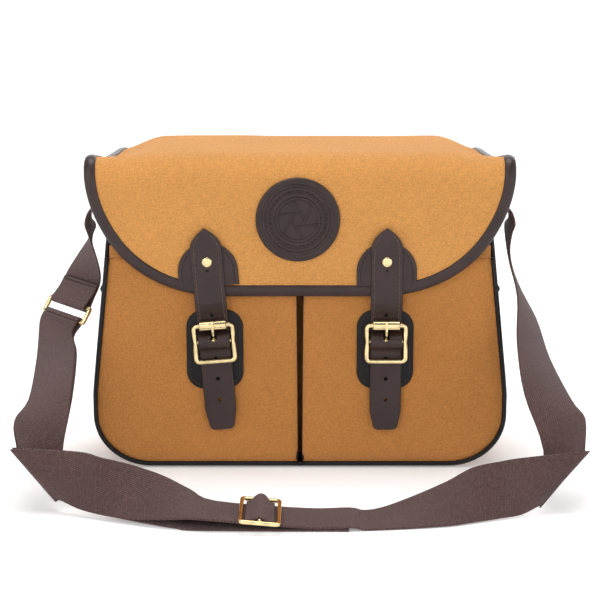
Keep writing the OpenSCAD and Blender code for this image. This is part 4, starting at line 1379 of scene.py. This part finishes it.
RIGHT_DROP = top_end(1) + [
    [(203, -38, 199), (213, 4, 173)], [(206, -80, 169), (229, -47, 140)],
    [(201.5, -117, 134.5), (236.5, -92, 111)], [(203.5, -158, 95), (250, -143, 84)],
    [(218, -187, 50), (256.5, -178, 77)]]
RIGHT_FOLD = fold_over((212.5, -211, 8), (252.5, -203, 55.5), (0.78, 0, -0.62), SINGLE_FOLD_R, -1)
RIGHT_FLOOR = [
    on_floor(196, -222, 2.2, 78), on_floor(176, -230, 1.3, 76), on_floor(152, -240, 1.3, 54),
    on_floor(130, -248.5, 1.3, 31), on_floor(97, -254.5, 1.3, 12), on_floor(72, -257.5, 1.3, 2),
    on_floor(56, -259, 1.3, 0), on_floor(44, -260, 4, 0), on_floor(5, -261, 3.8, 0),
    on_floor(-75, -260.5, 3.4 + 80 * CLIMB, 0)]
LEFT_FLOOR = [on_floor(-98, -256.5, 10.2, 12), on_floor(-122, -251, 7.5, 32)]
LEFT_STACK = [on_floor(-150, -240, 3.8, 54), on_floor(-176, -228, 4.4, 76), on_floor(-196, -218, 6.5, 79)]
LEFT_STACK += fold_over((-213, -209, 12), (-251, -206, 58), (-0.78, 0, -0.62), FOLD_R, 1)
LEFT_STACK += [
    [(-213, -184, 50), (-257.5, -175, 74)], [(-208.5, -152, 90), (-250, -136, 82)],
    [(-210.7, -101, 119), (-251, -77, 107)], across_ring(RING_C - RING_UP * 22),
    across_ring(RING_C - RING_UP * (RING_HALF + 1))]
SPREAD = [FOLD_R / 2] * (len(LEFT_STACK) - 2) + [2, LOOP_R]


def webbing_piece(name, node, stations):
    """A length of webbing on a smooth run through pairs of edge points."""
    return joined(name, [strip_data(eased(stations, 4), WEB_T, 1.7)], "webbing", "shoulder_strap",
                  replaces=(node,))


class BAG_OT_shoulder_strap(bpy.types.Operator):
    """Wide webbing strap, folded on the floor in front, with its ring and slider"""
    bl_idname = "bag.shoulder_strap"
    bl_label = "Shoulder strap"

    def execute(self, context):
        webbing_piece("strap_webbing_main", "shoulder_webbing",
                      RIGHT_DROP + RIGHT_FOLD + RIGHT_FLOOR + LEFT_FLOOR
                      + shifted(LEFT_STACK, [-d for d in SPREAD])
                      + bar_loop(-RING_HALF, range(150, -11, -32)))
        under = [on_floor(42, -261, 1.1, 0), on_floor(-85, -259, 1.1, 0), on_floor(-106, -254, 1.1, 5),
                 on_floor(-128, -246.5, 1.8, 28)]
        webbing_piece("strap_webbing_return", "webbing_return", under + shifted(LEFT_STACK, SPREAD))
        lower = [across_ring(RING_C + RING_UP * up + RING_N * n) for up, n in ((20, 1), (32, 1))]
        upper = [across_ring(RING_C + RING_UP * 36 + Vector((-0.5, 3, 0))),
                 across_ring(RING_C + RING_UP * 20 - RING_N * 2)]
        webbing_piece("strap_webbing_anchor", "anchor_webbing",
                      top_end(-1) + [[(-195.8, -34.5, 191), (-220.5, 8.5, 195)]] + upper
                      + bar_loop(RING_HALF, range(180, 361, 30)) + lower)
        # Rectangular ring
        outline = [RING_C + RING_W * x + RING_UP * v
                   for x, v in smoothed_loop(soft_box(RING_IN_W + 2 * RING_R, 2 * RING_HALF, 1.6, 4), 6)]
        stand_in("strap_ring", "wire", [tube_data(outline, RING_R, True, 16, [RING_N] * len(outline))],
                 "brass", "shoulder_strap")
        # Slider
        c, s = polar(1, SLOPE)

        def place(p):
            return v3(SLIDER_X + p[0] * c + p[2] * s, SLIDER_Y + p[1], SLIDER_Z - p[0] * s + p[2] * c)

        lift = WEB_T / 2 + 0.5 + SLIDER_WIRE / 2
        outline = [place((x, y, lift)) for x, y in smoothed_loop(
            soft_box(SLIDER_L - SLIDER_WIRE, SLIDER_W - SLIDER_WIRE, 3.2, 5), 4)]
        ring = bar_data(outline, SLIDER_WIRE, SLIDER_WIRE, 1.3, up=(s, 0, c), closed=True)
        slider = joined("slider_cast", [ring], "brass", "slider", replaces=("slider_frame",))
        slider.data.set_sharp_from_angle(angle=math.radians(50))
        half = SLIDER_W / 2 - SLIDER_WIRE + 0.4
        pin_path = [place((0, y, lift)) for y in (-half, -10, 10, half)]
        joined("slider_pin", [tube_data(pin_path, 1.7, sides=16)], "brass", "slider",
               replaces=("slider_bar",))
        # The webbing over the pin, pulled down at the front and loose at the back
        hump = [(-12.5, 2.4, 2.4), (-9, 2.7, 3.4), (-6, 3.5, 6.6), (-3, 5.3, 9.6), (0, 6.3, 10.6),
                (3, 5.3, 9.6), (6, 3.5, 6.6), (9, 2.7, 3.4), (12.5, 2.4, 2.4)]
        stations = eased([[place((x, -HALF_W, low)), place((x, HALF_W, high))] for x, low, high in hump], 3)
        joined("slider_webbing_loop", [strip_data(stations, WEB_T - 0.2, 1.5)], "webbing", "slider",
               replaces=("slider_webbing",))
        # Sewing across the webbing under the ring and on the anchor
        bars, ups = [], []
        for up, n, way in ((29, 2.2, 1), (33, 2.2, 1)):
            bars.append([RING_C + RING_UP * up + RING_N * n + RING_W * x for x in range(-22, 23, 4)])
            ups.append(tuple(RING_N * way))
        stitch_row("anchor_stitches", bars, ups, "webbing", "shoulder_strap", pitch=3, length=2.4,
                   thread="dark_thread")
        return {"FINISHED"}


# ---------------------------------------------------------------- stage

CAMERA_AT, CAMERA_TILT, CAMERA_LENS, SENSOR_W = (0, -1.547, 0.472), 11.8, 94.9, 36
FLOOR_R, SWEEP_R, FLOOR_SIDES, WALL_H = 4, 1.5, 48, 3.5
AIM = (0, -0.08, 0.16)
LIGHTS = (("Key", (-1.3, -1.9, 1.9), (1.4, 1.0), 16), ("Fill", (1.7, -1.8, 1.2), (1.8, 1.4), 6.5),
          ("Top", (0.0, 0.2, 2.4), (2.0, 1.4), 44), ("Back", (0.4, 2.2, 1.4), (2.4, 1.2), 12))
WORLD_STRENGTH = 0.2


def soft_light(name, at, aim, size, power):
    data = bpy.data.lights.new(name, "AREA")
    data.shape = "RECTANGLE"
    data.size, data.size_y = size
    data.energy = power
    obj = bpy.data.objects.new(name, data)
    bpy.context.collection.objects.link(obj)
    obj.location = at
    obj.rotation_euler = (Vector(aim) - Vector(at)).to_track_quat("-Z", "Y").to_euler()
    return obj


class BAG_OT_stage(bpy.types.Operator):
    """Camera, pale floor and soft studio lights"""
    bl_idname = "bag.stage"
    bl_label = "Stage"

    def execute(self, context):
        scene = context.scene
        data = bpy.data.cameras.new("View")
        data.lens, data.sensor_width = CAMERA_LENS, SENSOR_W
        camera = bpy.data.objects.new("View", data)
        scene.collection.objects.link(camera)
        camera.location = CAMERA_AT
        camera.rotation_euler = (math.radians(90 - CAMERA_TILT), 0, 0)
        data.clip_end = 50
        scene.camera = camera
        mesh = bpy.data.meshes.new("Floor")
        rings = [(0.01, 0)] + [(1.0 * k, 0) for k in range(1, FLOOR_R + 1)]
        rings += [(FLOOR_R + x, SWEEP_R + z) for x, z in arc(SWEEP_R, range(-80, 1, 10))]
        rings.append((FLOOR_R + SWEEP_R, WALL_H))
        n = FLOOR_SIDES
        points = [(*r_at, z) for r, z in rings for r_at in circle(r, n)]
        faces = [[i * n + k, i * n + (k + 1) % n, (i + 1) * n + (k + 1) % n, (i + 1) * n + k]
                 for i in range(len(rings) - 1) for k in range(n)]
        mesh.from_pydata(points, [], faces + [list(range(n))])
        mesh.polygons.foreach_set("use_smooth", [True] * len(mesh.polygons))
        floor = bpy.data.objects.new("Floor", mesh)
        scene.collection.objects.link(floor)
        mesh.materials.append(finish("floor"))
        floor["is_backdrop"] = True
        for name, at, size, power in LIGHTS:
            soft_light(name, at, AIM, size, power)
        world = bpy.data.worlds.new("Studio")
        world.use_nodes = True
        world.node_tree.nodes["Background"].inputs["Color"].default_value = (1, 1, 1, 1)
        world.node_tree.nodes["Background"].inputs["Strength"].default_value = WORLD_STRENGTH
        scene.world = world
        scene.view_settings.view_transform = "Standard"
        return {"FINISHED"}


# ---------------------------------------------------------------- settings, panel and start

def colour(name, description, default):
    return FloatVectorProperty(name=name, description=description, subtype="COLOR", size=3, min=0, max=1,
                               default=default)


class BagLooks(bpy.types.PropertyGroup):
    """Colours of the bag's materials"""
    canvas: colour("Canvas", "Cotton canvas of the body and flap", (0.66, 0.305, 0.085))
    # Darker copy of the canvas: partly a deeper cloth tone, partly painted shade on the panels and pockets.
    tone_and_shade_canvas: colour("Canvas tone and shade", "Cotton canvas of the panels and pockets", (0.50, 0.205, 0.052))
    lining: colour("Lining", "Cotton lining of the flap and hems", (0.30, 0.20, 0.12))
    leather: colour("Leather", "Straps, binding, badge and patches", (0.031, 0.0155, 0.014))
    trim: colour("Trim", "Piping, pocket patches and tabs", (0.0085, 0.007, 0.0075))
    brass: colour("Brass", "Buckles, rivets, rings and slider", (0.82, 0.66, 0.36))
    webbing: colour("Webbing", "Shoulder strap", (0.088, 0.047, 0.044))
    thread: colour("Thread", "Stitches of the closing straps", (0.11, 0.07, 0.05))
    floor: colour("Floor", "Floor under the bag", (0.90, 0.90, 0.90))


class BagSizes(bpy.types.PropertyGroup):
    """Sizes that can change without changing the parts underneath"""
    piping_r: FloatProperty(name="Piping radius", description="Radius of the body's piping",
                            default=0.0023, min=0.0015, max=0.003, unit="LENGTH")


BUILDERS = (BAG_OT_stage, BAG_OT_body, BAG_OT_insert, BAG_OT_pockets, BAG_OT_side_fittings, BAG_OT_flap,
            BAG_OT_badge, BAG_OT_closing_straps, BAG_OT_buckles, BAG_OT_shoulder_strap)


class BAG_PT_panel(bpy.types.Panel):
    """Colours, sizes and the steps that build the bag"""
    bl_idname = "BAG_PT_panel"
    bl_label = "Camera Shoulder Bag"
    bl_space_type = "VIEW_3D"
    bl_region_type = "UI"
    bl_category = "Bag"

    def draw(self, context):
        for group in (context.scene.bag_looks, context.scene.bag_sizes):
            for key in group.__annotations__:
                self.layout.prop(group, key)
        for builder in BUILDERS:
            self.layout.operator(builder.bl_idname)


CLASSES = (BagLooks, BagSizes, *BUILDERS, BAG_PT_panel)


def register():
    for made in CLASSES:
        bpy.utils.register_class(made)
    bpy.types.Scene.bag_looks = PointerProperty(type=BagLooks)
    bpy.types.Scene.bag_sizes = PointerProperty(type=BagSizes)


def unregister():
    del bpy.types.Scene.bag_sizes
    del bpy.types.Scene.bag_looks
    for made in reversed(CLASSES):
        bpy.utils.unregister_class(made)


def main():
    register()
    for builder in BUILDERS:
        group, name = builder.bl_idname.split(".")
        if getattr(getattr(bpy.ops, group), name)() != {"FINISHED"}:
            raise RuntimeError(f"{builder.bl_label} was not built")
    plain = [[list(map(float, corner)) for corner in box] for box in (CAD_BOX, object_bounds())]


if __name__ == "__main__":
    main()
